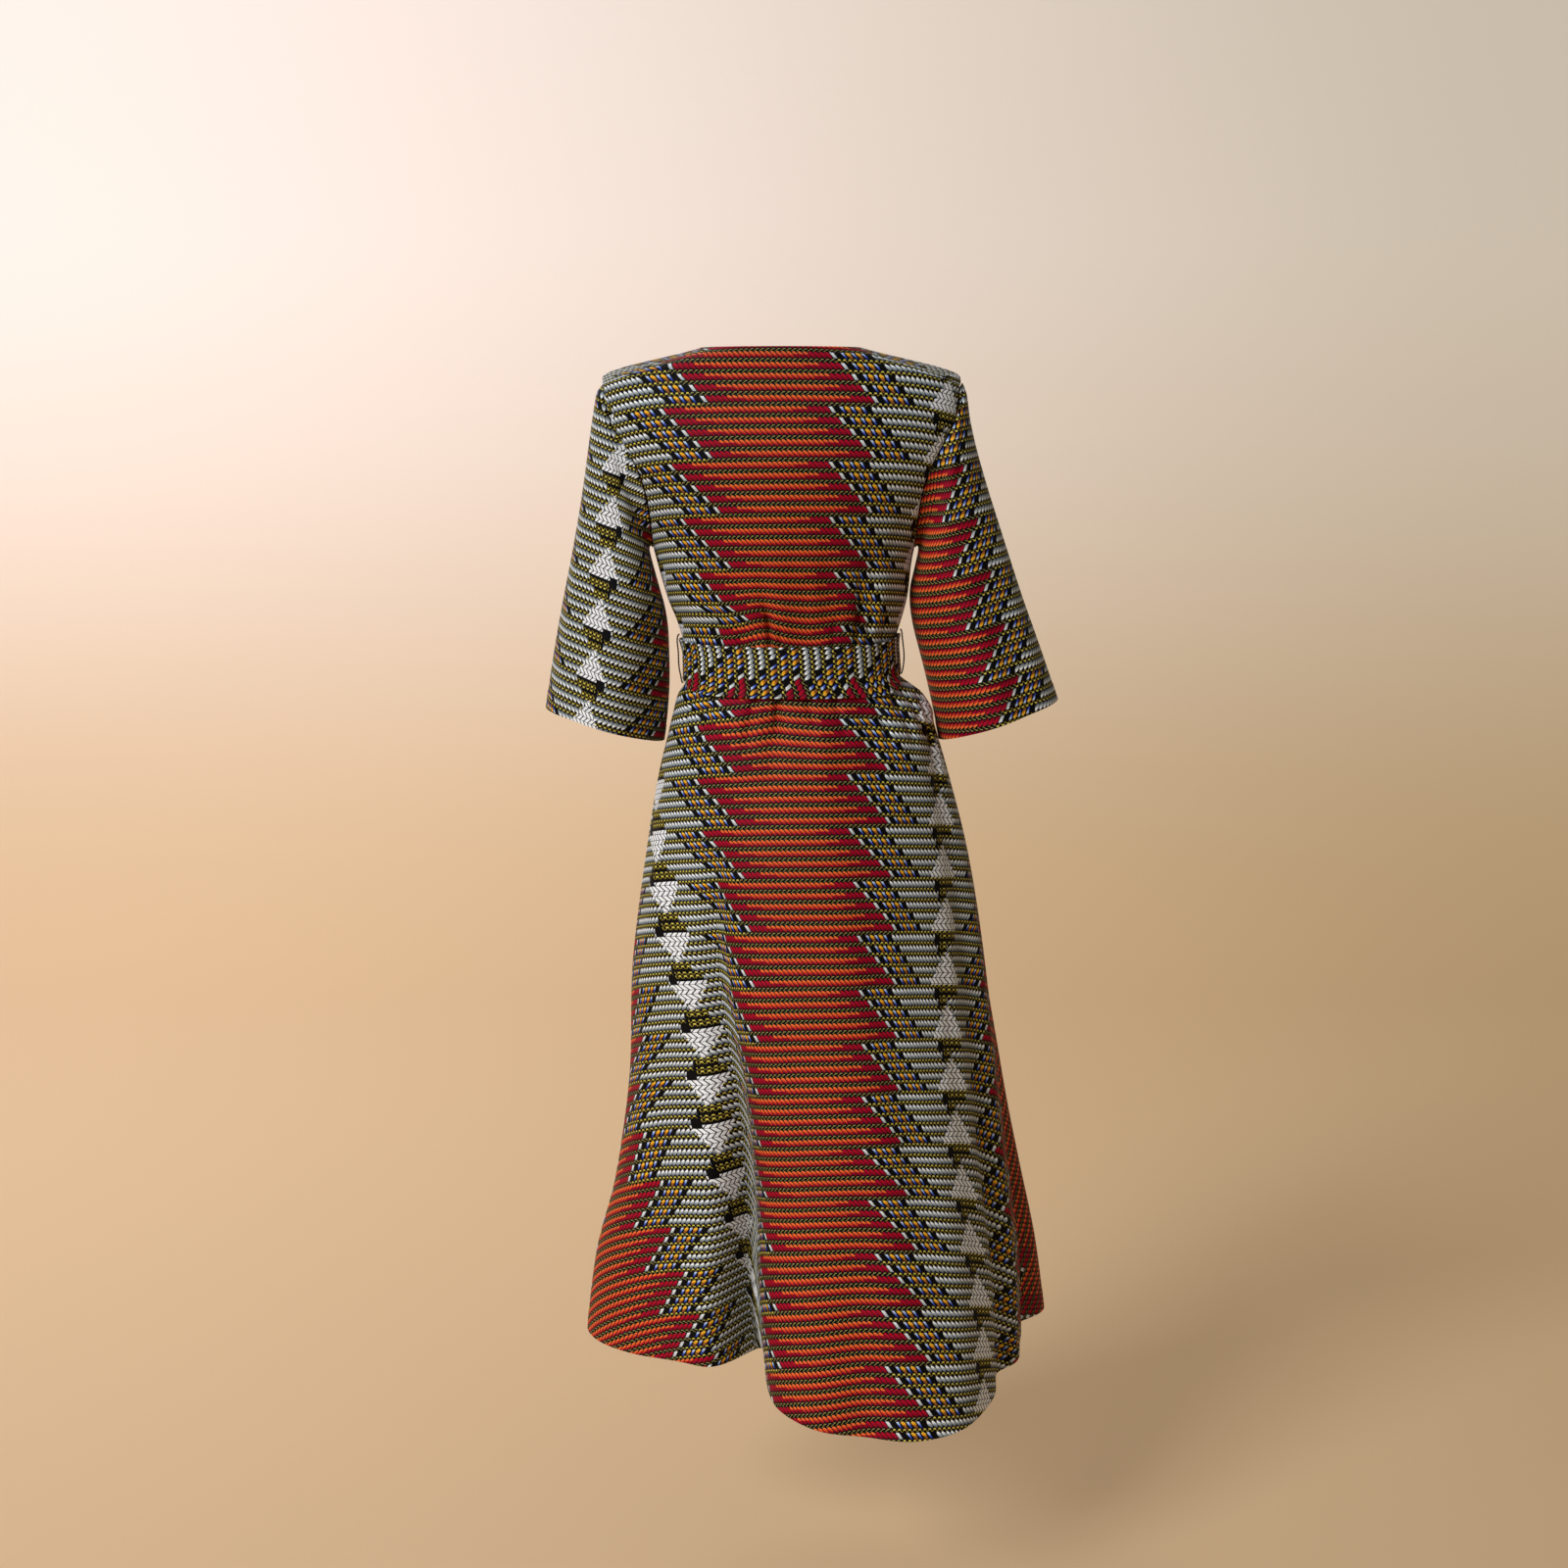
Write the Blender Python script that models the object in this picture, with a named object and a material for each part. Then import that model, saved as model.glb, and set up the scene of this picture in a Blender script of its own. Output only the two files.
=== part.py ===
"""African print coat in its worn form.

The wearer faces +Y, so the back looks towards -Y and the wearer's right is +X.
The origin is midway between the two neck points, where a figure holds the coat.
An angle round the body is 0 at the centre back, 90 at the +X side seam,
180 at the centre front and 270 at the -X side seam.
"""
import math
from collections import namedtuple

import bmesh
import bpy
from mathutils import Vector

# Driving dimensions, in metres
CLOTH = 0.0015
SEAM_GAP = 0.0003
NECK_HALF = 0.097
SHOULDER_HALF = 0.214
SHOULDER_DROP = 0.035
ARMPIT_Z = -0.236
WAIST_Z = -0.378
HEM_Z = -1.200
BELT_HEIGHT = 0.060
BELT_THICK = 0.0018
BELT_OFF = 0.0048
BELT_LAP_OFF = 0.0003
BELT_GRIP = 0.025
BELT_END_LENGTH = 0.46
BELT_END_DROP = 0.03
BELT_END_NECK = 0.022
BELT_END_STAND_TOP = 0.016
BELT_END_STAND = 0.0085
BELT_END_RIPPLE = 0.0020
LAP_UP = 0.0024
LAP_DOWN = 0.0020
LAP_TURN = 34.0
LAP_FADE = 42.0
ARMHOLE_STEP = 0.0015
KNOT_ANGLE = 176.0
KNOT_HALF_WIDTH = 0.025
KNOT_HALF_HEIGHT = 0.024
KNOT_HALF_DEPTH = 0.014
KNOT_SQUARE = 0.55
KNOT_CREASE = 0.0035
LOOP_RADIUS = 0.0009
LOOP_STAND = 0.0145
LOOP_FOOT = 0.0014
LOOP_OVER = 0.005

# Cells of the panels, counted across and down
BACK_COLUMNS = 44
FRONT_COLUMNS = 17
ARMHOLE_ROWS = 10
BODICE_ROWS = 4
SKIRT_ROWS = 10
SLEEVE_STATIONS = 12
BELT_COLUMNS = 56
BELT_ROWS = 2
BELT_END_COLUMNS = 5
BELT_END_ROWS = 14

Section = namedtuple("Section", "z half_width back front centre_x")
SECTIONS = [
    Section(0.000, 0.0970, 0.058, 0.046, -0.003),
    Section(-0.035, 0.2140, 0.080, 0.070, -0.003),
    Section(-0.080, 0.2165, 0.100, 0.092, -0.002),
    Section(-0.115, 0.2090, 0.108, 0.104, -0.001),
    Section(-0.147, 0.1970, 0.111, 0.111, 0.000),
    Section(-0.182, 0.1780, 0.111, 0.114, 0.000),
    Section(-0.236, 0.1560, 0.107, 0.112, 0.000),
    Section(-0.295, 0.1385, 0.098, 0.104, 0.003),
    Section(-0.340, 0.1215, 0.090, 0.095, 0.005),
    Section(-0.362, 0.1185, 0.088, 0.092, 0.007),
    Section(-0.394, 0.1185, 0.088, 0.092, 0.008),
    Section(-0.410, 0.1220, 0.091, 0.094, 0.010),
    Section(-0.430, 0.1350, 0.102, 0.103, 0.014),
    Section(-0.461, 0.1520, 0.115, 0.113, 0.018),
    Section(-0.590, 0.1930, 0.146, 0.140, 0.0275),
    Section(-0.739, 0.2175, 0.168, 0.160, 0.0315),
    Section(-0.886, 0.2335, 0.184, 0.174, 0.0405),
    Section(-1.011, 0.2545, 0.196, 0.187, 0.0425),
    Section(-1.110, 0.2770, 0.207, 0.198, 0.0390),
    Section(-1.200, 0.2880, 0.216, 0.208, 0.0380),
    Section(-1.270, 0.2930, 0.222, 0.214, 0.0380),
]

# Half width between the armholes, by height
Armhole = namedtuple("Armhole", "z half_width")
ARMHOLE = [
    Armhole(-0.035, 0.2130),
    Armhole(-0.080, 0.2050),
    Armhole(-0.115, 0.1870),
    Armhole(-0.147, 0.1700),
    Armhole(-0.182, 0.1610),
    Armhole(-0.236, 0.1560),
]

# Where the back's columns lie, closer together round the deep pinch
Column = namedtuple("Column", "share angle")
COLUMNS = [
    Column(0.00, -90.0),
    Column(0.22, -40.0),
    Column(0.56, -2.0),
    Column(1.00, 90.0),
]

# Front edge: how far it stands from the centre front, to its own side
Edge = namedtuple("Edge", "z reach")
FRONT_EDGE = [
    Edge(-0.035, 0.0970),
    Edge(-0.100, 0.0740),
    Edge(-0.200, 0.0330),
    Edge(-0.300, -0.0160),
    Edge(-0.378, -0.0480),
    Edge(-0.600, -0.0800),
    Edge(-0.900, -0.1000),
    Edge(-1.200, -0.1180),
]

# Height of the hem by angle: it dips at the centre back
Hem = namedtuple("Hem", "angle z")
HEM = [
    Hem(-105.0, -1.203),
    Hem(-60.0, -1.206),
    Hem(-32.0, -1.200),
    Hem(-20.0, -1.200),
    Hem(-9.0, -1.230),
    Hem(2.0, -1.242),
    Hem(20.0, -1.251),
    Hem(36.0, -1.243),
    Hem(52.0, -1.228),
    Hem(66.0, -1.216),
    Hem(94.0, -1.200),
    Hem(130.0, -1.196),
    Hem(180.0, -1.192),
    Hem(255.0, -1.203),
]

# Soft folds of the skirt: a depth above 0 stands out, below 0 falls in,
# and a higher rise keeps the fold shallow until it is near the hem
Fold = namedtuple("Fold", "name top_angle hem_angle spread depth start rise")
FOLDS = [
    Fold("left back, falling in", -50.0, -44.0, 31.0, -0.043, -0.55, 1.6),
    Fold("pinch left of the centre", -37.0, -19.5, 6.2, -0.098, -0.44, 1.6),
    Fold("left edge of the centre lobe", -16.0, 0.0, 7.5, 0.014, -0.50, 1.2),
    Fold("centre back lobe", 2.0, 20.0, 20.0, 0.046, -0.42, 1.1),
    Fold("dip in the centre lobe", 10.0, 11.0, 5.5, -0.007, -0.75, 1.0),
    Fold("right edge of the centre lobe", 42.0, 32.0, 8.0, 0.010, -0.55, 1.0),
    Fold("right back valley", 65.0, 55.0, 6.5, -0.024, -0.42, 0.9),
    Fold("right side, falling in", 82.0, 78.0, 17.0, -0.030, -0.60, 1.5),
    Fold("right side dip", 96.0, 91.0, 6.5, -0.018, -0.60, 1.3),
    Fold("right front lobe", 114.0, 109.0, 12.0, 0.020, -0.50, 1.2),
    Fold("right front dip", 128.0, 125.0, 7.0, -0.014, -0.60, 1.0),
    Fold("right front ridge", 142.0, 138.0, 8.0, 0.012, -0.55, 1.0),
    Fold("left front valley", 236.0, 240.0, 8.0, -0.026, -0.45, 1.0),
    Fold("left front ridge", 218.0, 222.0, 8.0, 0.012, -0.55, 1.0),
    Fold("left front dip", 254.0, 257.0, 7.0, -0.012, -0.55, 1.2),
]

# Gathers that the belt makes: height where each is deepest, and how far it runs
Gather = namedtuple("Gather", "angle spread depth z run")
GATHERS = [
    Gather(-12.0, 4.5, -0.0050, -0.325, 0.055),
    Gather(-4.0, 5.0, 0.0032, -0.335, 0.070),
    Gather(20.0, 6.0, -0.0030, -0.310, 0.060),
    Gather(41.0, 5.5, -0.0050, -0.300, 0.060),
    Gather(50.0, 6.0, 0.0030, -0.305, 0.070),
    Gather(-40.0, 6.0, -0.0034, -0.310, 0.060),
    Gather(-55.0, 6.0, 0.0026, -0.300, 0.060),
    Gather(-12.0, 5.0, -0.0060, -0.440, 0.050),
    Gather(8.0, 5.5, 0.0045, -0.450, 0.070),
    Gather(30.0, 6.0, -0.0045, -0.450, 0.070),
    Gather(-30.0, 6.0, 0.0040, -0.455, 0.070),
    Gather(125.0, 7.0, -0.0034, -0.320, 0.060),
    Gather(235.0, 7.0, -0.0034, -0.320, 0.060),
    Gather(120.0, 7.0, -0.0050, -0.450, 0.070),
    Gather(240.0, 7.0, -0.0050, -0.450, 0.070),
]

# Stations down a sleeve: the outer line, the inner line and the depth of the tube
Station = namedtuple("Station", "outer_x outer_z inner_x inner_z half_depth mid_y")
RIGHT_SLEEVE = [
    Station(0.2125, -0.0370, 0.1570, -0.2335, 0.050, 0.000),
    Station(0.2150, -0.0440, 0.1594, -0.2330, 0.052, 0.000),
    Station(0.2180, -0.0600, 0.1612, -0.2390, 0.055, 0.000),
    Station(0.2240, -0.0980, 0.1590, -0.2560, 0.060, 0.001),
    Station(0.2415, -0.1600, 0.1535, -0.2850, 0.065, 0.003),
    Station(0.2640, -0.2280, 0.1555, -0.3180, 0.069, 0.006),
    Station(0.2870, -0.2960, 0.1640, -0.3580, 0.072, 0.009),
    Station(0.3100, -0.3580, 0.1750, -0.4050, 0.075, 0.012),
    Station(0.3310, -0.4160, 0.1870, -0.4590, 0.078, 0.015),
]
LEFT_SLEEVE = [
    Station(0.2180, -0.0370, 0.1570, -0.2335, 0.050, 0.000),
    Station(0.2205, -0.0440, 0.1594, -0.2330, 0.052, 0.000),
    Station(0.2240, -0.0600, 0.1608, -0.2390, 0.055, 0.000),
    Station(0.2300, -0.0980, 0.1570, -0.2560, 0.060, 0.001),
    Station(0.2390, -0.1600, 0.1490, -0.2850, 0.065, 0.003),
    Station(0.2510, -0.2280, 0.1410, -0.3180, 0.069, 0.006),
    Station(0.2650, -0.2960, 0.1385, -0.3580, 0.072, 0.009),
    Station(0.2780, -0.3640, 0.1390, -0.4150, 0.075, 0.012),
    Station(0.2880, -0.4280, 0.1455, -0.4680, 0.078, 0.015),
]

# Soft folds of a sleeve: angle 0 is the outer line and 90 is the back
SleeveFold = namedtuple("SleeveFold", "angle spread depth start")
SLEEVE_FOLDS = [
    SleeveFold(62.0, 18.0, -0.0050, 0.30),
    SleeveFold(100.0, 20.0, 0.0050, 0.35),
    SleeveFold(290.0, 22.0, -0.0050, 0.35),
    SleeveFold(330.0, 20.0, 0.0040, 0.30),
]


def spline(table, key, value, at):
    """Read a column of a table at a height or angle, on a curve that never overshoots."""
    rows = sorted(table, key=lambda row: getattr(row, key))
    places = [getattr(row, key) for row in rows]
    values = [getattr(row, value) for row in rows]
    last = len(rows) - 1
    slopes = [(values[i + 1] - values[i]) / (places[i + 1] - places[i]) for i in range(last)]
    if at <= places[0]:
        return values[0] + slopes[0] * (at - places[0])
    if at >= places[last]:
        return values[last] + slopes[last - 1] * (at - places[last])
    i = max(k for k in range(last) if places[k] <= at)

    def tangent(k):
        if k in (0, last):
            return slopes[min(k, last - 1)]
        before, after = slopes[k - 1], slopes[k]
        if before * after <= 0.0:
            return 0.0
        return 2.0 * before * after / (before + after)

    gap = places[i + 1] - places[i]
    t = (at - places[i]) / gap
    start = values[i] * (1 + 2 * t) * (1 - t) ** 2 + values[i + 1] * t * t * (3 - 2 * t)
    return start + gap * (tangent(i) * t * (1 - t) ** 2 + tangent(i + 1) * t * t * (t - 1))


def smooth(value):
    """Ease from 0 to 1."""
    value = min(1.0, max(0.0, value))
    return value * value * (3.0 - 2.0 * value)


def mix(first, second, share):
    return first + (second - first) * share


def turn(angle, centre):
    """Degrees from a fold's centre, the short way round."""
    return (angle - centre + 180.0) % 360.0 - 180.0


def bump(offset, spread):
    return math.exp(-(offset / spread) ** 2)


def hem_height(angle):
    return spline(HEM, "angle", "z", (angle + 105.0) % 360.0 - 105.0)


def fold_depth(angle, z):
    """How far folds and gathers move the cloth out at a place on the body."""
    out = 0.0
    hem = hem_height(angle)
    for fold in FOLDS:
        down = min(1.0, (z - fold.start) / (hem - fold.start))
        if down > 0.0:
            centre = mix(fold.top_angle, fold.hem_angle, down)
            out += fold.depth * down ** fold.rise * bump(turn(angle, centre), fold.spread)
    for gather in GATHERS:
        near = bump(z - gather.z, gather.run)
        near *= smooth((abs(z - WAIST_Z) - 0.5 * BELT_HEIGHT) / BELT_GRIP)
        out += gather.depth * near * bump(turn(angle, gather.angle), gather.spread)
    return out


def body_point(angle, z, lift=0.0):
    """A point of the worn cloth: the smooth section, moved out by its folds."""
    turned = math.radians(angle)
    half_width = spline(SECTIONS, "z", "half_width", z)
    half_depth = spline(SECTIONS, "z", "back" if math.cos(turned) > 0.0 else "front", z)
    centre_x = spline(SECTIONS, "z", "centre_x", z)
    out = Vector((math.sin(turned) / half_width, -math.cos(turned) / half_depth, 0.0)).normalized()
    flat = Vector((centre_x + half_width * math.sin(turned), -half_depth * math.cos(turned), z))
    return flat + out * (fold_depth(angle, z) + lift)


def body_normal(angle, z):
    """The way out of the cloth, from the slopes of the same surface."""
    across = body_point(angle + 0.4, z) - body_point(angle - 0.4, z)
    upward = body_point(angle, z + 0.001) - body_point(angle, z - 0.001)
    return across.cross(upward).normalized()


def panel_rows():
    """Heights of a panel's rows at its side edge, shoulder to hem."""
    rows = []
    for k in range(ARMHOLE_ROWS + 1):
        rows.append(mix(-SHOULDER_DROP, ARMPIT_Z, (k / ARMHOLE_ROWS) ** 1.5))
    above = WAIST_Z + 0.5 * BELT_HEIGHT
    below = WAIST_Z - 0.5 * BELT_HEIGHT
    for k in range(1, BODICE_ROWS + 1):
        rows.append(mix(ARMPIT_Z, above, k / BODICE_ROWS))
    rows += [WAIST_Z, below]
    for k in range(1, SKIRT_ROWS + 1):
        rows.append(mix(below, HEM_Z, (k / SKIRT_ROWS) ** 1.35))
    return rows


def side_half_width(z):
    if z > ARMPIT_Z:
        return spline(ARMHOLE, "z", "half_width", z)
    return spline(SECTIONS, "z", "half_width", z)


def panel_place(z_row, turned, front):
    """Angle and height of a panel's point, from its row and its turn from the centre."""
    reach = side_half_width(z_row) * math.sin(turned)
    top_reach = abs(SHOULDER_HALF * math.sin(turned))
    slope = (SHOULDER_HALF - max(top_reach, NECK_HALF)) / (SHOULDER_HALF - NECK_HALF)
    fade = 1.0 - smooth((-SHOULDER_DROP - z_row) / (-SHOULDER_DROP - ARMPIT_Z))
    z = z_row + SHOULDER_DROP * slope * fade
    if z_row >= -SHOULDER_DROP and (top_reach >= NECK_HALF or front):
        share = math.copysign(1.0, reach)
    else:
        share = max(-1.0, min(1.0, reach / spline(SECTIONS, "z", "half_width", z)))
    angle = math.degrees(math.asin(share))
    if front:
        angle = 180.0 - angle
    if z_row < WAIST_Z:
        z = WAIST_Z + (z_row - WAIST_Z) * (hem_height(angle) - WAIST_Z) / (HEM_Z - WAIST_Z)
    return angle, z


def wall(name, outer, inner, closed, material):
    """Build a closed cloth wall between two grids of points, with rims round its edges."""
    mesh = bmesh.new()
    grids = [[[mesh.verts.new(point) for point in row] for row in grid] for grid in (outer, inner)]
    rows = len(outer)
    columns = len(outer[0])
    span = columns if closed else columns - 1
    for r in range(rows - 1):
        for c in range(span):
            n = (c + 1) % columns
            top, low = grids[0][r], grids[0][r + 1]
            mesh.faces.new((top[c], low[c], low[n], top[n]))
            top, low = grids[1][r], grids[1][r + 1]
            mesh.faces.new((top[c], top[n], low[n], low[c]))
    for c in range(span):
        n = (c + 1) % columns
        mesh.faces.new((grids[0][0][c], grids[0][0][n], grids[1][0][n], grids[1][0][c]))
        mesh.faces.new((grids[0][-1][n], grids[0][-1][c], grids[1][-1][c], grids[1][-1][n]))
    if not closed:
        for r in range(rows - 1):
            mesh.faces.new((grids[0][r + 1][0], grids[0][r][0], grids[1][r][0], grids[1][r + 1][0]))
            mesh.faces.new((grids[0][r][-1], grids[0][r + 1][-1], grids[1][r + 1][-1], grids[1][r][-1]))
    return finish(name, mesh, material)


def finish(name, mesh, material):
    """Turn a bmesh into a named object with its faces pointing out."""
    bmesh.ops.triangulate(mesh, faces=mesh.faces[:])
    bmesh.ops.recalc_face_normals(mesh, faces=mesh.faces[:])
    data = bpy.data.meshes.new(name)
    mesh.to_mesh(data)
    mesh.free()
    data.shade_smooth()
    data.materials.append(material)
    piece = bpy.data.objects.new(name, data)
    bpy.context.collection.objects.link(piece)
    return piece


def seam_shift(front):
    """Half of the seam gap, away from the line where back and front meet."""
    return Vector((0.0, (0.5 if front else -0.5) * SEAM_GAP, 0.0))


def make_back(material):
    """The back, in one piece between the side seams, from the neckline to the hem."""
    outer, inner = [], []
    for z_row in panel_rows():
        outer_row, inner_row = [], []
        for c in range(BACK_COLUMNS + 1):
            turned = math.radians(spline(COLUMNS, "share", "angle", c / BACK_COLUMNS))
            angle, z = panel_place(z_row, turned, False)
            point = body_point(angle, z) + seam_shift(False)
            outer_row.append(point)
            inner_row.append(point - body_normal(angle, z) * CLOTH)
        outer.append(outer_row)
        inner.append(inner_row)
    return wall("back_panel", outer, inner, False, material)


def front_place(side, z_row, share):
    """Angle, height and lift on a front, from its edge (share 0) to its side seam (share 1)."""
    reach = spline(FRONT_EDGE, "z", "reach", z_row)
    edge = math.asin(reach / side_half_width(z_row))
    turned = mix(edge, 0.5 * math.pi, share)
    angle, z = panel_place(z_row, turned, True)
    lap = 1.0 - smooth((math.degrees(turned) - LAP_TURN) / LAP_FADE)
    lap *= smooth((-z - 0.03) / 0.12)
    lift = (LAP_UP if side > 0 else -LAP_DOWN) * lap
    return (angle if side > 0 else 360.0 - angle), z, lift


def make_front(name, side, material):
    """One front: side is 1 for the wearer's right, which laps over, and -1 for the left."""
    outer, inner = [], []
    for z_row in panel_rows():
        outer_row, inner_row = [], []
        for c in range(FRONT_COLUMNS + 1):
            angle, z, lift = front_place(side, z_row, c / FRONT_COLUMNS)
            point = body_point(angle, z, lift) + seam_shift(True)
            outer_row.append(point)
            inner_row.append(point - body_normal(angle, z) * CLOTH)
        outer.append(outer_row)
        inner.append(inner_row)
    return wall(name, outer, inner, False, material)


def armhole_loop(side):
    """Points and outward directions of one armhole: down the back, then up the front."""
    places = []
    heights = panel_rows()[:ARMHOLE_ROWS + 1]
    for z_row in heights:
        places.append((panel_place(z_row, 0.5 * math.pi, False), False))
    for z_row in reversed(heights[1:-1]):
        places.append((panel_place(z_row, 0.5 * math.pi, True), True))
    points, normals = [], []
    for k, ((angle, z), front) in enumerate(places):
        if side < 0:
            angle = -angle
        shift = Vector() if k in (0, ARMHOLE_ROWS) else seam_shift(front)
        points.append(body_point(angle, z) + shift)
        normals.append(body_normal(angle, z))
    return points, normals


def sleeve_ring(stations, side, share, turn_angle):
    """A point of the sleeve's tube: share runs from the armhole to the cuff."""
    last = len(stations) - 1
    i = min(int(share * last), last - 1)
    t = share * last - i
    near = (stations[max(i - 1, 0)], stations[i], stations[i + 1], stations[min(i + 2, last)])

    def read(column):
        a, b, c, d = (getattr(station, column) for station in near)
        return 0.5 * (2 * b + (c - a) * t + (2 * a - 5 * b + 4 * c - d) * t * t
                      + (3 * b - a - 3 * c + d) * t ** 3)

    turned = math.radians(turn_angle)
    across = Vector((0.5 * (read("outer_x") - read("inner_x")), 0.0,
                     0.5 * (read("outer_z") - read("inner_z"))))
    middle = Vector((0.5 * (read("outer_x") + read("inner_x")), read("mid_y"),
                     0.5 * (read("outer_z") + read("inner_z"))))
    depth = read("half_depth")
    point = middle + across * math.cos(turned) - Vector((0.0, depth, 0.0)) * math.sin(turned)
    for fold in SLEEVE_FOLDS:
        size = fold.depth * smooth((share - fold.start) / (1.0 - fold.start))
        size *= bump(turn(turn_angle, fold.angle), fold.spread)
        point += (point - middle).normalized() * size
    return Vector((side * point.x, point.y, point.z))


def make_sleeve(name, side, stations, material):
    """A set-in sleeve: it leaves the armhole's line and eases into the arm's tube."""
    loop, normals = armhole_loop(side)
    count = len(loop)
    lengths = [0.0]
    for k in range(ARMHOLE_ROWS):
        lengths.append(lengths[-1] + (loop[k + 1] - loop[k]).length)
    turns = [180.0 * length / lengths[-1] for length in lengths]
    turns += [360.0 - angle for angle in reversed(turns[1:-1])]
    aways = []
    for k in range(count):
        along = loop[(k + 1) % count] - loop[k - 1]
        away = normals[k].cross(along).normalized()
        aways.append(away if side > 0 else -away)

    rings = [[loop[k] + aways[k] * SEAM_GAP for k in range(count)]]
    for s in range(1, SLEEVE_STATIONS + 1):
        ring = [sleeve_ring(stations, side, s / SLEEVE_STATIONS, angle) for angle in turns]
        if s == 1:
            ring = [(loop[k] + aways[k] * ARMHOLE_STEP).lerp(ring[k], 0.5) for k in range(count)]
        rings.append(ring)

    inner = []
    for s in range(SLEEVE_STATIONS + 1):
        row = []
        above = rings[max(s - 1, 0)]
        below = rings[min(s + 1, SLEEVE_STATIONS)]
        for k in range(count):
            across = rings[s][(k + 1) % count] - rings[s][k - 1]
            down = (below[k] - rings[s][k]).normalized() + (rings[s][k] - above[k]).normalized()
            normal = down.cross(across).normalized() * side
            row.append(rings[s][k] + normal * CLOTH)
        inner.append(row)
    return wall(name, rings, inner, True, material)


def belt_point(angle, z, lift):
    """A point over the waist: the belt follows the cloth's section without its gathers."""
    front = 0.5 * (1.0 - math.cos(math.radians(angle)))
    return body_point(angle, z, lift + BELT_OFF + BELT_LAP_OFF * front)


def make_belt(material):
    """The band round the waist, made from the points of the panels below it, moved out."""
    angles = [360.0 * c / BELT_COLUMNS for c in range(BELT_COLUMNS)]
    outer, inner = [], []
    for r in range(BELT_ROWS + 1):
        z = WAIST_Z + BELT_HEIGHT * (0.5 - r / BELT_ROWS)
        outer.append([belt_point(angle, z, 0.0) for angle in angles])
        inner.append([belt_point(angle, z, -BELT_THICK) for angle in angles])
    return wall("belt", outer, inner, True, material)


def knot_centre():
    seat = belt_point(KNOT_ANGLE, WAIST_Z, 0.0)
    return seat + Vector((0.0, KNOT_HALF_DEPTH + 3.0 * SEAM_GAP, 0.0))


def make_knot(material):
    """The belt's knot: a rounded square of cloth with a crease drawn across its front."""
    mesh = bmesh.new()
    bmesh.ops.create_uvsphere(mesh, u_segments=20, v_segments=12, radius=1.0)
    for vert in mesh.verts:
        x, y, z = (math.copysign(abs(value) ** KNOT_SQUARE, value) for value in vert.co)
        crease = KNOT_CREASE * bump(x + 0.55 * z, 0.30) * smooth(y)
        place = Vector((x * KNOT_HALF_WIDTH, y * KNOT_HALF_DEPTH - crease, z * KNOT_HALF_HEIGHT))
        vert.co = knot_centre() + place
    return finish("belt_knot", mesh, material)


def make_belt_end(name, side, length, material):
    """A hanging end of the belt, over the front skirt, narrow where it leaves the knot."""
    outer, inner = [], []
    start = WAIST_Z - KNOT_HALF_HEIGHT - SEAM_GAP
    for r in range(BELT_END_ROWS + 1):
        down = r / BELT_END_ROWS
        z = start - length * down
        width = mix(BELT_END_NECK, BELT_HEIGHT, smooth(down * 3.0))
        radius = spline(SECTIONS, "z", "half_width", z)
        apart = 0.5 * width + mix(0.001, 0.016, down)
        middle = KNOT_ANGLE - side * math.degrees(apart / radius)
        outer_row, inner_row = [], []
        for c in range(BELT_END_COLUMNS + 1):
            share = c / BELT_END_COLUMNS
            angle = middle + math.degrees(width * (share - 0.5) / radius)
            stand = mix(BELT_END_STAND_TOP, BELT_END_STAND, smooth(down * 2.2))
            ripple = BELT_END_RIPPLE * math.sin(3.0 * math.pi * share) * smooth(down * 3.0)
            point = body_point(angle, z, stand + ripple)
            outer_row.append(point)
            inner_row.append(point - body_normal(angle, z) * BELT_THICK)
        outer.append(outer_row)
        inner.append(inner_row)
    return wall(name, outer, inner, False, material)


def make_loop(name, angle, material):
    """A thread loop at a side seam, long enough for the belt to pass through."""
    steps, sides = 12, 6
    reach = 0.5 * BELT_HEIGHT + LOOP_OVER
    foot = LOOP_RADIUS + LOOP_FOOT
    mesh = bmesh.new()
    path = []
    for s in range(steps + 1):
        share = s / steps
        z = WAIST_Z + mix(reach, -reach, share)
        stand = foot + (LOOP_STAND + BELT_OFF - foot) * math.sin(math.pi * share) ** 0.5
        path.append(body_point(angle, z, stand))
    rings = []
    for s, point in enumerate(path):
        along = (path[min(s + 1, steps)] - path[max(s - 1, 0)]).normalized()
        side = Vector((0.0, 1.0, 0.0))
        lift = along.cross(side).normalized()
        ring = []
        for k in range(sides):
            turned = 2.0 * math.pi * k / sides
            offset = side * math.cos(turned) + lift * math.sin(turned)
            ring.append(mesh.verts.new(point + offset * LOOP_RADIUS))
        rings.append(ring)
    for first, second in zip(rings, rings[1:]):
        for k in range(sides):
            n = (k + 1) % sides
            mesh.faces.new((first[k], first[n], second[n], second[k]))
    mesh.faces.new(rings[0])
    mesh.faces.new(rings[-1])
    return finish(name, mesh, material)


def make_material(name, colour, roughness):
    material = bpy.data.materials.new(name)
    material.use_nodes = True
    shader = material.node_tree.nodes["Principled BSDF"]
    shader.inputs["Base Color"].default_value = (*colour, 1.0)
    shader.inputs["Roughness"].default_value = roughness
    shader.inputs["Metallic"].default_value = 0.0
    return material


def clear_scene():
    for piece in list(bpy.data.objects):
        bpy.data.objects.remove(piece, do_unlink=True)


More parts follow.
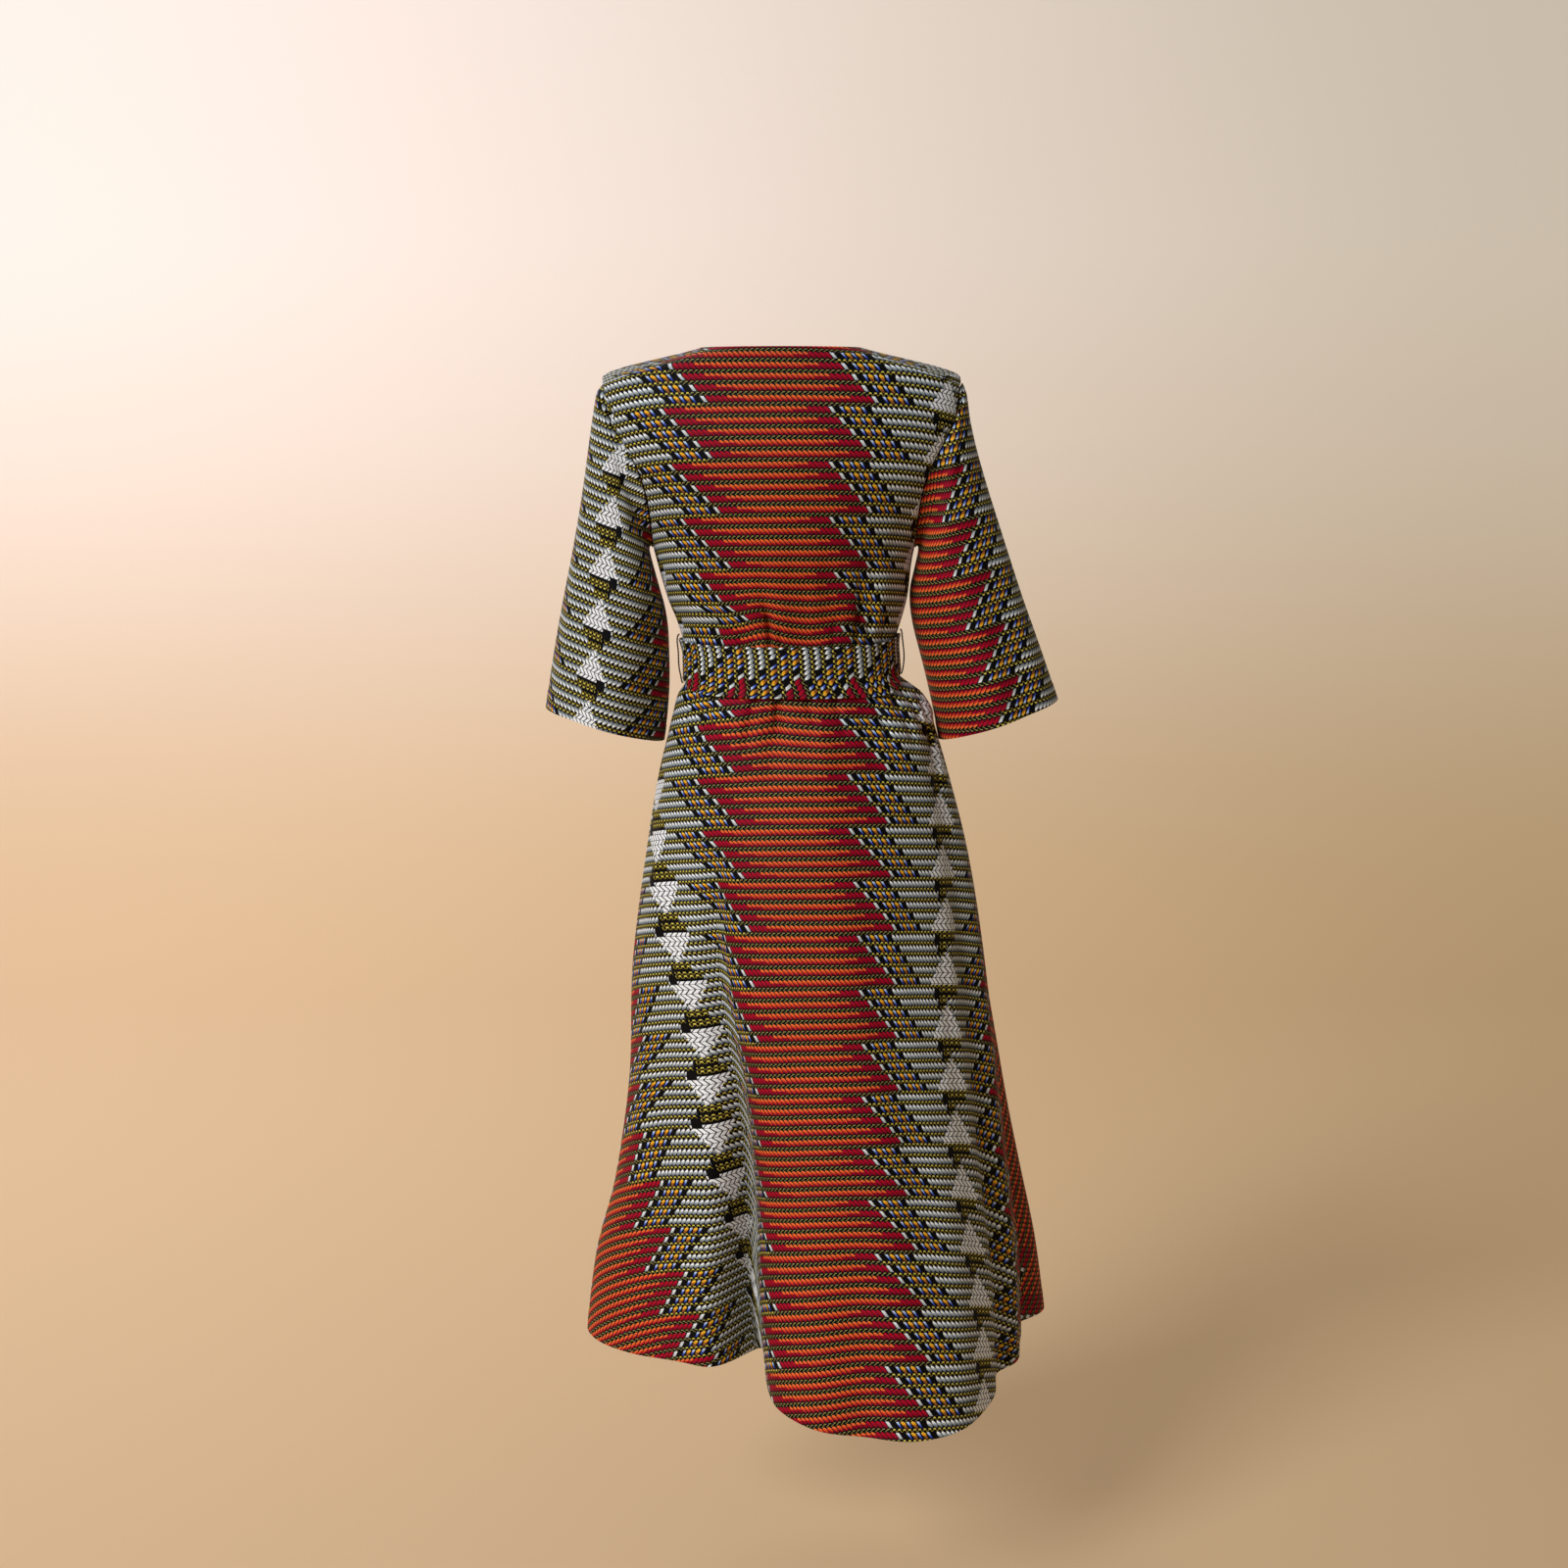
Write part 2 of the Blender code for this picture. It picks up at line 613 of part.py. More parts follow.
def main():
    clear_scene()
    cotton = (0.52, 0.11, 0.04)
    make_back(make_material("back_cotton", cotton, 0.62))
    make_front("left_front", -1, make_material("left_front_cotton", cotton, 0.62))
    make_front("right_front", 1, make_material("right_front_cotton", cotton, 0.62))
    make_sleeve("left_sleeve", -1, LEFT_SLEEVE, make_material("left_sleeve_cotton", cotton, 0.62))
    make_sleeve("right_sleeve", 1, RIGHT_SLEEVE, make_material("right_sleeve_cotton", cotton, 0.62))
    make_belt(make_material("belt_cotton", cotton, 0.60))
    make_knot(make_material("knot_cotton", cotton, 0.60))
    ends = (("belt_end_left", -1, BELT_END_LENGTH), ("belt_end_right", 1, BELT_END_LENGTH - BELT_END_DROP))
    for name, side, length in ends:
        make_belt_end(name, side, length, make_material(name + "_cotton", cotton, 0.60))
    for name, angle in (("belt_loop_left", -90.0), ("belt_loop_right", 90.0)):
        make_loop(name, angle, make_material(name + "_thread", (0.02, 0.015, 0.018), 0.55))


main()
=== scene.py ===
# %% [markdown]
# # African print coat
# The coat is seen from behind, in its worn form. It is a cotton wax print, cut as one back,
# two fronts and two set-in sleeves, and a belt of the same cloth draws it in at the waist.
# The CAD frame gives the size and the drape. This lesson lays finely woven cloth on the same
# drape, adds creases, seams and stitches, and then prints the cloth from a chart of its rules.
# The frame is loaded first, because every piece below rides on it.

# %% Load the imported frame
import math
from collections import namedtuple

import bmesh
import bpy
import numpy as np
from mathutils import Matrix, Vector


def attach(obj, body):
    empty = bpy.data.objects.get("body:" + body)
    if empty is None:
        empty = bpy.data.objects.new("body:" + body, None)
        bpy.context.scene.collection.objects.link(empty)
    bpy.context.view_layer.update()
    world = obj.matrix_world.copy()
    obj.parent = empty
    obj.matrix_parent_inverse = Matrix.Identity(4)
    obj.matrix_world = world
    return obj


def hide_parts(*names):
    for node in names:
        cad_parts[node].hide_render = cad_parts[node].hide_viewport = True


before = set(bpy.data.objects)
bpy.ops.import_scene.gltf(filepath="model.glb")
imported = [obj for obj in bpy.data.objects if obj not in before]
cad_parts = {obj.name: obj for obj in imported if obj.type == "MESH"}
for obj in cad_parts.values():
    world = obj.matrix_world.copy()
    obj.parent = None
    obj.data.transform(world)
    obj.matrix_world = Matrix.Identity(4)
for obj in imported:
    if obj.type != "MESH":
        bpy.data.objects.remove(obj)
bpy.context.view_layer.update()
print("frame nodes:", sorted(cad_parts))

# %% [markdown]
# ## The camera
# A photographer stood about three metres behind the coat, at chest height, looking slightly
# down. A lens can be given by its focal length in pixels of the picture, which a sensor
# width turns into millimetres. That way is chosen because the pixels can be measured.

# %% Camera
PHOTO_PIXELS = 1600
FOCAL_PIXELS = 2550
SENSOR = 36.0
CAMERA_PLACE = (0.0, -3.0, -0.11)
CAMERA_DOWN = math.radians(7.8)

lens = bpy.data.cameras.new("camera")
lens.sensor_width = SENSOR
lens.lens = SENSOR * FOCAL_PIXELS / PHOTO_PIXELS
camera = bpy.data.objects.new("camera", lens)
bpy.context.scene.collection.objects.link(camera)
camera.location = CAMERA_PLACE
camera.rotation_euler = (0.5 * math.pi - CAMERA_DOWN, 0.0, 0.0)
bpy.context.scene.camera = camera
print("focal length in millimetres:", round(lens.lens, 1))

# %% [markdown]
# ## Colours by name
# Colours are picked in the screen's own numbers from 0 to 255, while Blender's shaders want
# linear light. One small helper turns the first into the second.

# %% Colour helper
bpy.context.scene.view_settings.view_transform = "Standard"


def screen(red, green, blue):
    """A colour given in screen numbers, as linear light with an alpha of one."""
    linear = []
    for part in (red, green, blue):
        share = part / 255.0
        linear.append(share / 12.92 if share <= 0.04045 else ((share + 0.055) / 1.055) ** 2.4)
    return (*linear, 1.0)


print("mid grey in linear light:", round(screen(128, 128, 128)[0], 3))

# %% [markdown]
# ## Floor and background
# A studio has a pale sheet that runs along the floor and curves up behind the model, so no
# line shows where they meet. A grid bent along that profile does the same. Its colour holds
# painted light and shade: lighter at the left and high up, darker at the right and low down.
# It also glows a little, as painted light from behind. It is a stage, so it is no part of the coat.

# %% Studio sweep
FLOOR_Z = -1.50
SWEEP_START = 3.2
SWEEP_RADIUS = 1.6
SWEEP_HALF = 4.5
SWEEP_NEAR = 4.0
SWEEP_WALL = 4.0
PAPER_GLOW = 0.45
PAPER_LIT_LEFT = screen(246, 238, 240)
PAPER_SHADED_RIGHT = screen(190, 183, 172)
PAPER_SHADED_LOW = screen(212, 185, 146)
PAPER_LIT_HIGH = screen(255, 250, 243)
# Painted light and shade: the paper is lighter at the left and high up, and darker at the right and down on
# the floor.
PAPER_LIGHT_RAMPS = (
    ("X", -2.6, 2.6, PAPER_LIT_LEFT, PAPER_SHADED_RIGHT),
    ("Z", FLOOR_Z, 0.6, PAPER_SHADED_LOW, PAPER_LIT_HIGH),
)


def sweep_place(share):
    """A point of the sweep's side view, for a share of the way from its near edge."""
    flat, curve = SWEEP_START + SWEEP_NEAR, 0.5 * math.pi * SWEEP_RADIUS
    run = share * (flat + curve + SWEEP_WALL)
    if run < flat:
        return run - SWEEP_NEAR, FLOOR_Z
    if run < flat + curve:
        turned = (run - flat) / SWEEP_RADIUS
        up = SWEEP_RADIUS * (1 - math.cos(turned))
        return SWEEP_START + SWEEP_RADIUS * math.sin(turned), FLOOR_Z + up
    return SWEEP_START + SWEEP_RADIUS, FLOOR_Z + SWEEP_RADIUS + run - flat - curve


def make_sweep():
    mesh = bmesh.new()
    bmesh.ops.create_grid(mesh, x_segments=2, y_segments=96, size=1.0)
    for vert in mesh.verts:
        y, z = sweep_place(0.5 * (vert.co.y + 1.0))
        vert.co = Vector((vert.co.x * SWEEP_HALF, y, z))
    data = bpy.data.meshes.new("studio_sweep")
    mesh.to_mesh(data)
    mesh.free()
    data.shade_smooth()
    return data


sweep = bpy.data.objects.new("studio_sweep", make_sweep())
bpy.context.scene.collection.objects.link(sweep)

paper = bpy.data.materials.new("studio_paper_painted_light")
paper.use_nodes = True
nodes, links = paper.node_tree.nodes, paper.node_tree.links
where = nodes.new("ShaderNodeTexCoord")
split = nodes.new("ShaderNodeSeparateXYZ")
links.new(where.outputs["Object"], split.inputs[0])
shades = []
for axis, start, end, first, last in PAPER_LIGHT_RAMPS:
    share = nodes.new("ShaderNodeMapRange")
    share.interpolation_type = "SMOOTHSTEP"
    share.inputs["From Min"].default_value = start
    share.inputs["From Max"].default_value = end
    links.new(split.outputs[axis], share.inputs["Value"])
    shade = nodes.new("ShaderNodeMix")
    shade.data_type = "RGBA"
    shade.inputs[6].default_value = first
    shade.inputs[7].default_value = last
    links.new(share.outputs["Result"], shade.inputs[0])
    shades.append(shade)
both = nodes.new("ShaderNodeMix")
both.data_type = "RGBA"
both.blend_type = "MULTIPLY"
both.inputs[0].default_value = 1.0
links.new(shades[0].outputs[2], both.inputs[6])
links.new(shades[1].outputs[2], both.inputs[7])
links.new(both.outputs[2], nodes["Principled BSDF"].inputs["Base Color"])
# Painted light: the paper glows in its own painted colours, as if lit from behind.
links.new(both.outputs[2], nodes["Principled BSDF"].inputs["Emission Color"])
nodes["Principled BSDF"].inputs["Emission Strength"].default_value = PAPER_GLOW
nodes["Principled BSDF"].inputs["Roughness"].default_value = 0.9
sweep.data.materials.append(paper)
print("floor at", FLOOR_Z)

# %% [markdown]
# ## Soft light
# The key light comes from the upper left and falls evenly on coat and wall, as a large light
# far away does, so it is a sun with a wide disc. A soft box fills a little from the right, and
# one behind keeps the hidden front readable. The world is dim, so sides turned away go dark.

# %% Lights
KEY_PLACE = (-2.2, -2.9, 2.0)
KEY_WAY = Vector((2.2, 2.7, -2.3))
KEY_STRENGTH = 2.3
KEY_DISC = math.radians(22.0)
KEY_COLOUR = (0.94, 0.97, 1.0)
WORLD_COLOUR = screen(240, 232, 220)
WORLD_STRENGTH = 0.14
SoftBox = namedtuple("SoftBox", "name place power size")
SOFT_BOXES = [
    SoftBox("fill", (2.2, -3.4, 0.6), 5.0, 1.6),
    SoftBox("behind", (-1.6, 2.0, 1.6), 30.0, 1.8),
]
AIM = Vector((0.0, 0.0, -0.55))


def hang_lamp(name, kind, place, way):
    lamp = bpy.data.lights.new(name, kind)
    holder = bpy.data.objects.new(name, lamp)
    holder.location = place
    holder.rotation_euler = way.to_track_quat("-Z", "Y").to_euler()
    bpy.context.scene.collection.objects.link(holder)
    return lamp


key = hang_lamp("key", "SUN", KEY_PLACE, KEY_WAY)
key.energy = KEY_STRENGTH
key.angle = KEY_DISC
key.color = KEY_COLOUR
for box in SOFT_BOXES:
    lamp = hang_lamp(box.name, "AREA", box.place, AIM - Vector(box.place))
    lamp.energy = box.power
    lamp.size = box.size

world = bpy.data.worlds.new("studio")
bpy.context.scene.world = world
world.use_nodes = True
world.node_tree.nodes["Background"].inputs["Color"].default_value = WORLD_COLOUR
world.node_tree.nodes["Background"].inputs["Strength"].default_value = WORLD_STRENGTH
print("soft boxes:", len(SOFT_BOXES))

# %% [markdown]
# ## The coat's measures
# Most of these are the CAD's numbers, repeated because this script can't read that source.
# Some leave the CAD to follow the photograph. Just under the belt the body is up to 31 mm
# wider at the right and 16 mm at the left, the shoulders drop 5 mm more, the right cuff
# hangs lower at its inner corner and the loops stand nearer. The origin lies midway between
# the two neck points. An angle round the body is 0 at the centre back, 90 at the right side
# seam, 180 at the centre front and 270 at the left side seam.

# %% Measures shared with the CAD
CLOTH = 0.0015
SEAM_GAP = 0.0003
NECK_HALF = 0.097
SHOULDER_HALF = 0.214
SHOULDER_DROP = 0.040
ARMPIT_Z = -0.236
WAIST_Z = -0.378
HEM_Z = -1.200
BELT_HEIGHT = 0.060
BELT_THICK = 0.0018
BELT_OFF = 0.0048
BELT_LAP_OFF = 0.0003
BELT_GRIP = 0.025
BELT_END_LENGTH = 0.46
BELT_END_DROP = 0.03
BELT_END_NECK = 0.022
BELT_END_STAND_TOP = 0.016
BELT_END_STAND = 0.0085
BELT_END_RIPPLE = 0.0020
LAP_UP = 0.0024
LAP_DOWN = 0.0020
LAP_TURN = 34.0
LAP_FADE = 42.0
ARMHOLE_STEP = 0.0015
KNOT_ANGLE = 176.0
KNOT_HALF_WIDTH = 0.025
KNOT_HALF_HEIGHT = 0.024
KNOT_HALF_DEPTH = 0.014
KNOT_SQUARE = 0.55
KNOT_CREASE = 0.0035
LOOP_RADIUS = 0.0009
LOOP_STAND = 0.0050
LOOP_FOOT = 0.0014
LOOP_OVER = 0.005


def table(name, columns, rows):
    """Rows of numbers as named tuples, so that each column can be read by its name."""
    kind = namedtuple(name, columns)
    return [kind(*row) for row in rows]


SECTIONS = table("Section", "z half_width back front centre_x", [
    (0.000, 0.0970, 0.058, 0.046, -0.003), (-0.035, 0.2140, 0.080, 0.070, -0.003),
    (-0.080, 0.2165, 0.100, 0.092, -0.002), (-0.115, 0.2090, 0.108, 0.104, -0.001),
    (-0.147, 0.1970, 0.111, 0.111, 0.000), (-0.182, 0.1780, 0.111, 0.114, 0.000),
    (-0.236, 0.1560, 0.107, 0.112, 0.000), (-0.295, 0.1435, 0.098, 0.104, 0.004),
    (-0.325, 0.1335, 0.092, 0.098, 0.006), (-0.342, 0.1285, 0.089, 0.094, 0.006),
    (-0.362, 0.1260, 0.088, 0.092, 0.0085), (-0.385, 0.1270, 0.088, 0.092, 0.0100),
    (-0.398, 0.1340, 0.0885, 0.0925, 0.0150), (-0.410, 0.1450, 0.091, 0.094, 0.0175),
    (-0.436, 0.1560, 0.105, 0.105, 0.0215), (-0.461, 0.1630, 0.115, 0.113, 0.0225),
    (-0.500, 0.1735, 0.126, 0.122, 0.0235),
    (-0.590, 0.1930, 0.146, 0.140, 0.0275), (-0.739, 0.2175, 0.168, 0.160, 0.0315),
    (-0.886, 0.2335, 0.184, 0.174, 0.0405), (-1.011, 0.2545, 0.196, 0.187, 0.0425),
    (-1.110, 0.2770, 0.207, 0.198, 0.0390), (-1.200, 0.2880, 0.216, 0.208, 0.0380),
    (-1.270, 0.2930, 0.222, 0.214, 0.0380),
])
ARMHOLE = table("Armhole", "z half_width", [
    (-0.035, 0.2130), (-0.080, 0.2050), (-0.115, 0.1870),
    (-0.147, 0.1700), (-0.182, 0.1610), (-0.236, 0.1560),
])
COLUMNS = table("Column", "share angle", [(0.00, -90.0), (0.22, -40.0), (0.56, -2.0), (1.00, 90.0)])
FRONT_EDGE = table("Edge", "z reach", [
    (-0.035, 0.0970), (-0.100, 0.0740), (-0.200, 0.0330), (-0.300, -0.0160),
    (-0.378, -0.0480), (-0.600, -0.0800), (-0.900, -0.1000), (-1.200, -0.1180),
])
HEM = table("Hem", "angle z", [
    (-105.0, -1.203), (-60.0, -1.206), (-32.0, -1.200), (-20.0, -1.200), (-9.0, -1.230),
    (2.0, -1.242), (20.0, -1.251), (36.0, -1.243), (52.0, -1.228), (66.0, -1.216),
    (94.0, -1.200), (130.0, -1.196), (180.0, -1.192), (255.0, -1.203),
])
FOLDS = table("Fold", "top_angle hem_angle spread depth start rise", [
    (-50.0, -44.0, 31.0, -0.043, -0.55, 1.6), (-37.0, -19.5, 6.2, -0.098, -0.44, 1.6),
    (-16.0, 0.0, 7.5, 0.014, -0.50, 1.2), (2.0, 20.0, 20.0, 0.046, -0.42, 1.1),
    (10.0, 11.0, 5.5, -0.007, -0.75, 1.0), (42.0, 32.0, 8.0, 0.010, -0.55, 1.0),
    (65.0, 55.0, 6.5, -0.024, -0.42, 0.9), (82.0, 78.0, 17.0, -0.030, -0.60, 1.5),
    (96.0, 91.0, 6.5, -0.018, -0.60, 1.3), (114.0, 109.0, 12.0, 0.020, -0.50, 1.2),
    (128.0, 125.0, 7.0, -0.014, -0.60, 1.0), (142.0, 138.0, 8.0, 0.012, -0.55, 1.0),
    (236.0, 240.0, 8.0, -0.026, -0.45, 1.0), (218.0, 222.0, 8.0, 0.012, -0.55, 1.0),
    (254.0, 257.0, 7.0, -0.012, -0.55, 1.2),
])
GATHERS = table("Gather", "angle spread depth z run", [
    (-12.0, 4.5, -0.0050, -0.325, 0.055), (-4.0, 5.0, 0.0032, -0.335, 0.070),
    (20.0, 6.0, -0.0030, -0.310, 0.060), (41.0, 5.5, -0.0050, -0.300, 0.060),
    (50.0, 6.0, 0.0030, -0.305, 0.070), (-40.0, 6.0, -0.0034, -0.310, 0.060),
    (-55.0, 6.0, 0.0026, -0.300, 0.060), (-12.0, 5.0, -0.0060, -0.440, 0.050),
    (8.0, 5.5, 0.0045, -0.450, 0.070), (30.0, 6.0, -0.0045, -0.450, 0.070),
    (-30.0, 6.0, 0.0040, -0.455, 0.070), (125.0, 7.0, -0.0034, -0.320, 0.060),
    (235.0, 7.0, -0.0034, -0.320, 0.060), (120.0, 7.0, -0.0050, -0.450, 0.070),
    (240.0, 7.0, -0.0050, -0.450, 0.070),
])
STATION = "outer_x outer_z inner_x inner_z half_depth mid_y"
RIGHT_SLEEVE = table("Station", STATION, [
    (0.2125, -0.0420, 0.1570, -0.2335, 0.050, 0.000), (0.2150, -0.0480, 0.1594, -0.2330, 0.052, 0.000),
    (0.2180, -0.0620, 0.1605, -0.2390, 0.055, 0.000), (0.2240, -0.0985, 0.1575, -0.2560, 0.060, 0.001),
    (0.2415, -0.1600, 0.1512, -0.2850, 0.065, 0.003), (0.2640, -0.2280, 0.1530, -0.3180, 0.069, 0.006),
    (0.2870, -0.2960, 0.1628, -0.3580, 0.072, 0.009), (0.3100, -0.3580, 0.1750, -0.4050, 0.075, 0.012),
    (0.3310, -0.4180, 0.1880, -0.4665, 0.078, 0.015),
])
LEFT_SLEEVE = table("Station", STATION, [
    (0.2180, -0.0420, 0.1570, -0.2335, 0.050, 0.000), (0.2205, -0.0480, 0.1594, -0.2330, 0.052, 0.000),
    (0.2240, -0.0620, 0.1608, -0.2390, 0.055, 0.000), (0.2300, -0.0980, 0.1570, -0.2560, 0.060, 0.001),
    (0.2390, -0.1600, 0.1490, -0.2850, 0.065, 0.003), (0.2510, -0.2280, 0.1410, -0.3180, 0.069, 0.006),
    (0.2650, -0.2960, 0.1385, -0.3580, 0.072, 0.009), (0.2780, -0.3640, 0.1390, -0.4150, 0.075, 0.012),
    (0.2880, -0.4280, 0.1455, -0.4680, 0.078, 0.015),
])
SLEEVE_FOLDS = table("SleeveFold", "angle spread depth start", [
    (62.0, 18.0, -0.0050, 0.30), (100.0, 20.0, 0.0050, 0.35),
    (290.0, 22.0, -0.0050, 0.35), (330.0, 20.0, 0.0040, 0.30),
])
print("sections:", len(SECTIONS), "folds:", len(FOLDS), "gathers:", len(GATHERS))

# %% [markdown]
# ## Fine creases
# Worn cotton never hangs quite smooth. It could be simulated, but a simulation would not
# stop where the photograph shows a crease. So each crease is listed as a soft
# trough or ridge: where it starts and ends, how wide it is and how deep. No two are alike,
# and the hidden front gets some of its own.

# %% Creases listed one by one
CREASES = table("Crease", "angle z end_angle end_z width depth", [
    # upper back, from the shoulder blades to the waist
    (-34.0, -0.120, -20.0, -0.300, 0.016, -0.0014), (-58.0, -0.150, -44.0, -0.290, 0.012, -0.0016),
    (30.0, -0.140, 33.0, -0.310, 0.016, -0.0013), (58.0, -0.170, 47.0, -0.300, 0.012, -0.0016),
    (4.0, -0.210, 2.0, -0.335, 0.011, -0.0011), (14.0, -0.230, 10.0, -0.340, 0.010, 0.0010),
    (-66.0, -0.205, -30.0, -0.245, 0.010, -0.0012), (66.0, -0.215, 36.0, -0.262, 0.010, -0.0012),
    # short tucks above the belt, deepest where it grips them
    (-11.0, -0.300, -9.5, -0.372, 0.0034, -0.0085), (-4.5, -0.318, -5.0, -0.370, 0.0040, -0.0030),
    (36.5, -0.270, 39.0, -0.372, 0.0042, -0.0095), (46.0, -0.305, 46.0, -0.370, 0.0042, -0.0042),
    (-27.0, -0.306, -26.0, -0.370, 0.0050, -0.0030), (24.0, -0.312, 24.0, -0.370, 0.0044, -0.0030),
    (-14.0, -0.250, -15.0, -0.372, 0.0120, 0.0022), (9.0, -0.262, 8.0, -0.372, 0.0120, -0.0026),
    (-41.0, -0.300, -40.0, -0.370, 0.0050, -0.0034), (58.0, -0.300, 60.0, -0.370, 0.0050, -0.0036),
    # tucks that open below the belt
    (-9.5, -0.384, -11.5, -0.450, 0.0042, -0.0080), (3.5, -0.384, 4.5, -0.440, 0.0042, -0.0042),
    (16.0, -0.384, 18.0, -0.455, 0.0050, -0.0040), (-21.0, -0.384, -24.0, -0.460, 0.0055, -0.0042),
    (36.0, -0.384, 40.0, -0.475, 0.0060, -0.0056), (49.0, -0.384, 54.0, -0.465, 0.0060, -0.0056),
    (-44.0, -0.384, -48.0, -0.460, 0.0055, -0.0042), (-60.0, -0.384, -63.0, -0.450, 0.0050, -0.0036),
    (62.0, -0.384, 68.0, -0.470, 0.0070, -0.0060),
    (87.0, -0.392, 89.0, -0.440, 0.0200, 0.0050), (76.0, -0.415, 68.0, -0.520, 0.0090, -0.0060),
    # long ripples of the skirt
    (-27.0, -0.520, -30.0, -0.900, 0.020, 0.0026), (-52.0, -0.600, -58.0, -1.120, 0.022, -0.0030),
    (-66.0, -0.520, -70.0, -1.000, 0.018, 0.0024), (18.0, -0.560, 24.0, -1.020, 0.020, -0.0022),
    (28.0, -0.640, 34.0, -1.180, 0.018, 0.0022), (46.0, -0.700, 44.0, -1.150, 0.014, -0.0018),
    (74.0, -0.560, 70.0, -1.100, 0.016, 0.0024), (-8.0, -0.700, -2.0, -1.080, 0.014, -0.0016),
    # the hidden front
    (140.0, -0.130, 150.0, -0.290, 0.014, -0.0014), (118.0, -0.160, 132.0, -0.300, 0.012, -0.0015),
    (222.0, -0.140, 212.0, -0.290, 0.014, -0.0014), (244.0, -0.170, 232.0, -0.300, 0.012, -0.0015),
    (148.0, -0.310, 149.0, -0.352, 0.0050, -0.0018), (205.0, -0.312, 206.0, -0.352, 0.0050, -0.0018),
    (134.0, -0.402, 136.0, -0.450, 0.0055, -0.0020), (150.0, -0.402, 152.0, -0.442, 0.0050, -0.0017),
    (214.0, -0.402, 212.0, -0.452, 0.0055, -0.0020), (228.0, -0.402, 226.0, -0.440, 0.0050, -0.0018),
    (120.0, -0.560, 118.0, -1.050, 0.018, -0.0022), (150.0, -0.620, 152.0, -1.100, 0.020, 0.0022),
    (206.0, -0.600, 208.0, -1.080, 0.020, -0.0022), (230.0, -0.540, 230.0, -1.000, 0.018, 0.0024),
])
print("creases:", len(CREASES))

# %% [markdown]
# ## Reading the tables
# The CAD reads its tables on a curve that never overshoots. The same curve is written here
# for whole arrays, because a finely woven panel has tens of thousands of points and a loop
# over them would be slow.

# %% Curves and easing for arrays


def spline(rows, key, value, at):
    """Read a column of a table at many places, on a curve that never overshoots."""
    rows = sorted(rows, key=lambda row: getattr(row, key))
    x = np.array([getattr(row, key) for row in rows])
    y = np.array([getattr(row, value) for row in rows])
    at = np.asarray(at, float)
    gaps = np.diff(x)
    slopes = np.diff(y) / gaps
    before, after = slopes[:-1], slopes[1:]
    same_way = before * after > 0.0
    middle = np.where(same_way, 2.0 * before * after / np.where(same_way, before + after, 1.0), 0.0)
    tangents = np.concatenate([slopes[:1], middle, slopes[-1:]])
    i = np.clip(np.searchsorted(x, at, side="right") - 1, 0, len(gaps) - 1)
    t = (at - x[i]) / gaps[i]
    inside = y[i] * (1 + 2 * t) * (1 - t) ** 2 + y[i + 1] * t * t * (3 - 2 * t)
    inside = inside + gaps[i] * (tangents[i] * t * (1 - t) ** 2 + tangents[i + 1] * t * t * (t - 1))
    low = y[0] + slopes[0] * (at - x[0])
    high = y[-1] + slopes[-1] * (at - x[-1])
    return np.where(at <= x[0], low, np.where(at >= x[-1], high, inside))


def smooth(value):
    """Ease from 0 to 1."""
    value = np.clip(value, 0.0, 1.0)
    return value * value * (3.0 - 2.0 * value)


def mix(first, second, share):
    return first + (second - first) * share


def turn(angle, centre):
    """Degrees from a centre, the short way round."""
    return (angle - centre + 180.0) % 360.0 - 180.0


def bump(offset, spread):
    return np.exp(-(offset / spread) ** 2)


def length_of(vectors):
    return np.linalg.norm(vectors, axis=-1)


def unit(vectors):
    return vectors / np.maximum(length_of(vectors), 1e-12)[..., None]


print("half width at the waist:", float(spline(SECTIONS, "z", "half_width", WAIST_Z)))

# %% [markdown]
# ## The worn form
# A smooth section round the body is moved out or in by the folds, the gathers that the belt
# makes, and the fine creases. Everything that touches the body is asked from this one
# surface, so the belt, the stitches and the loops sit on the cloth with no fitting.

# %% The body's surface


def hem_height(angle):
    return spline(HEM, "angle", "z", (angle + 105.0) % 360.0 - 105.0)


def fold_depth(angle, z):
    """How far folds and gathers move the cloth out."""
    hem = hem_height(angle)
    out = np.zeros(np.broadcast(angle, z).shape)
    for fold in FOLDS:
        down = np.clip((z - fold.start) / (hem - fold.start), 0.0, 1.0)
        centre = mix(fold.top_angle, fold.hem_angle, down)
        out = out + fold.depth * down ** fold.rise * bump(turn(angle, centre), fold.spread)
    grip = smooth((np.abs(z - WAIST_Z) - 0.5 * BELT_HEIGHT) / BELT_GRIP)
    for gather in GATHERS:
        near = bump(z - gather.z, gather.run) * grip
        out = out + gather.depth * near * bump(turn(angle, gather.angle), gather.spread)
    return out


def crease_depth(angle, z):
    """The fine creases: a soft trough or ridge along a line, fading at both ends."""
    out = np.zeros(np.broadcast(angle, z).shape)
    half_width = spline(SECTIONS, "z", "half_width", z)
    for crease in CREASES:
        share = (z - crease.z) / (crease.end_z - crease.z)
        centre = mix(crease.angle, crease.end_angle, smooth(share))
        aside = np.radians(turn(angle, centre)) * half_width
        fade = smooth((share + 0.15) / 0.45) * smooth((1.15 - share) / 0.45)
        out = out + crease.depth * fade * bump(aside, crease.width * mix(0.75, 1.25, np.clip(share, 0, 1)))
    return out


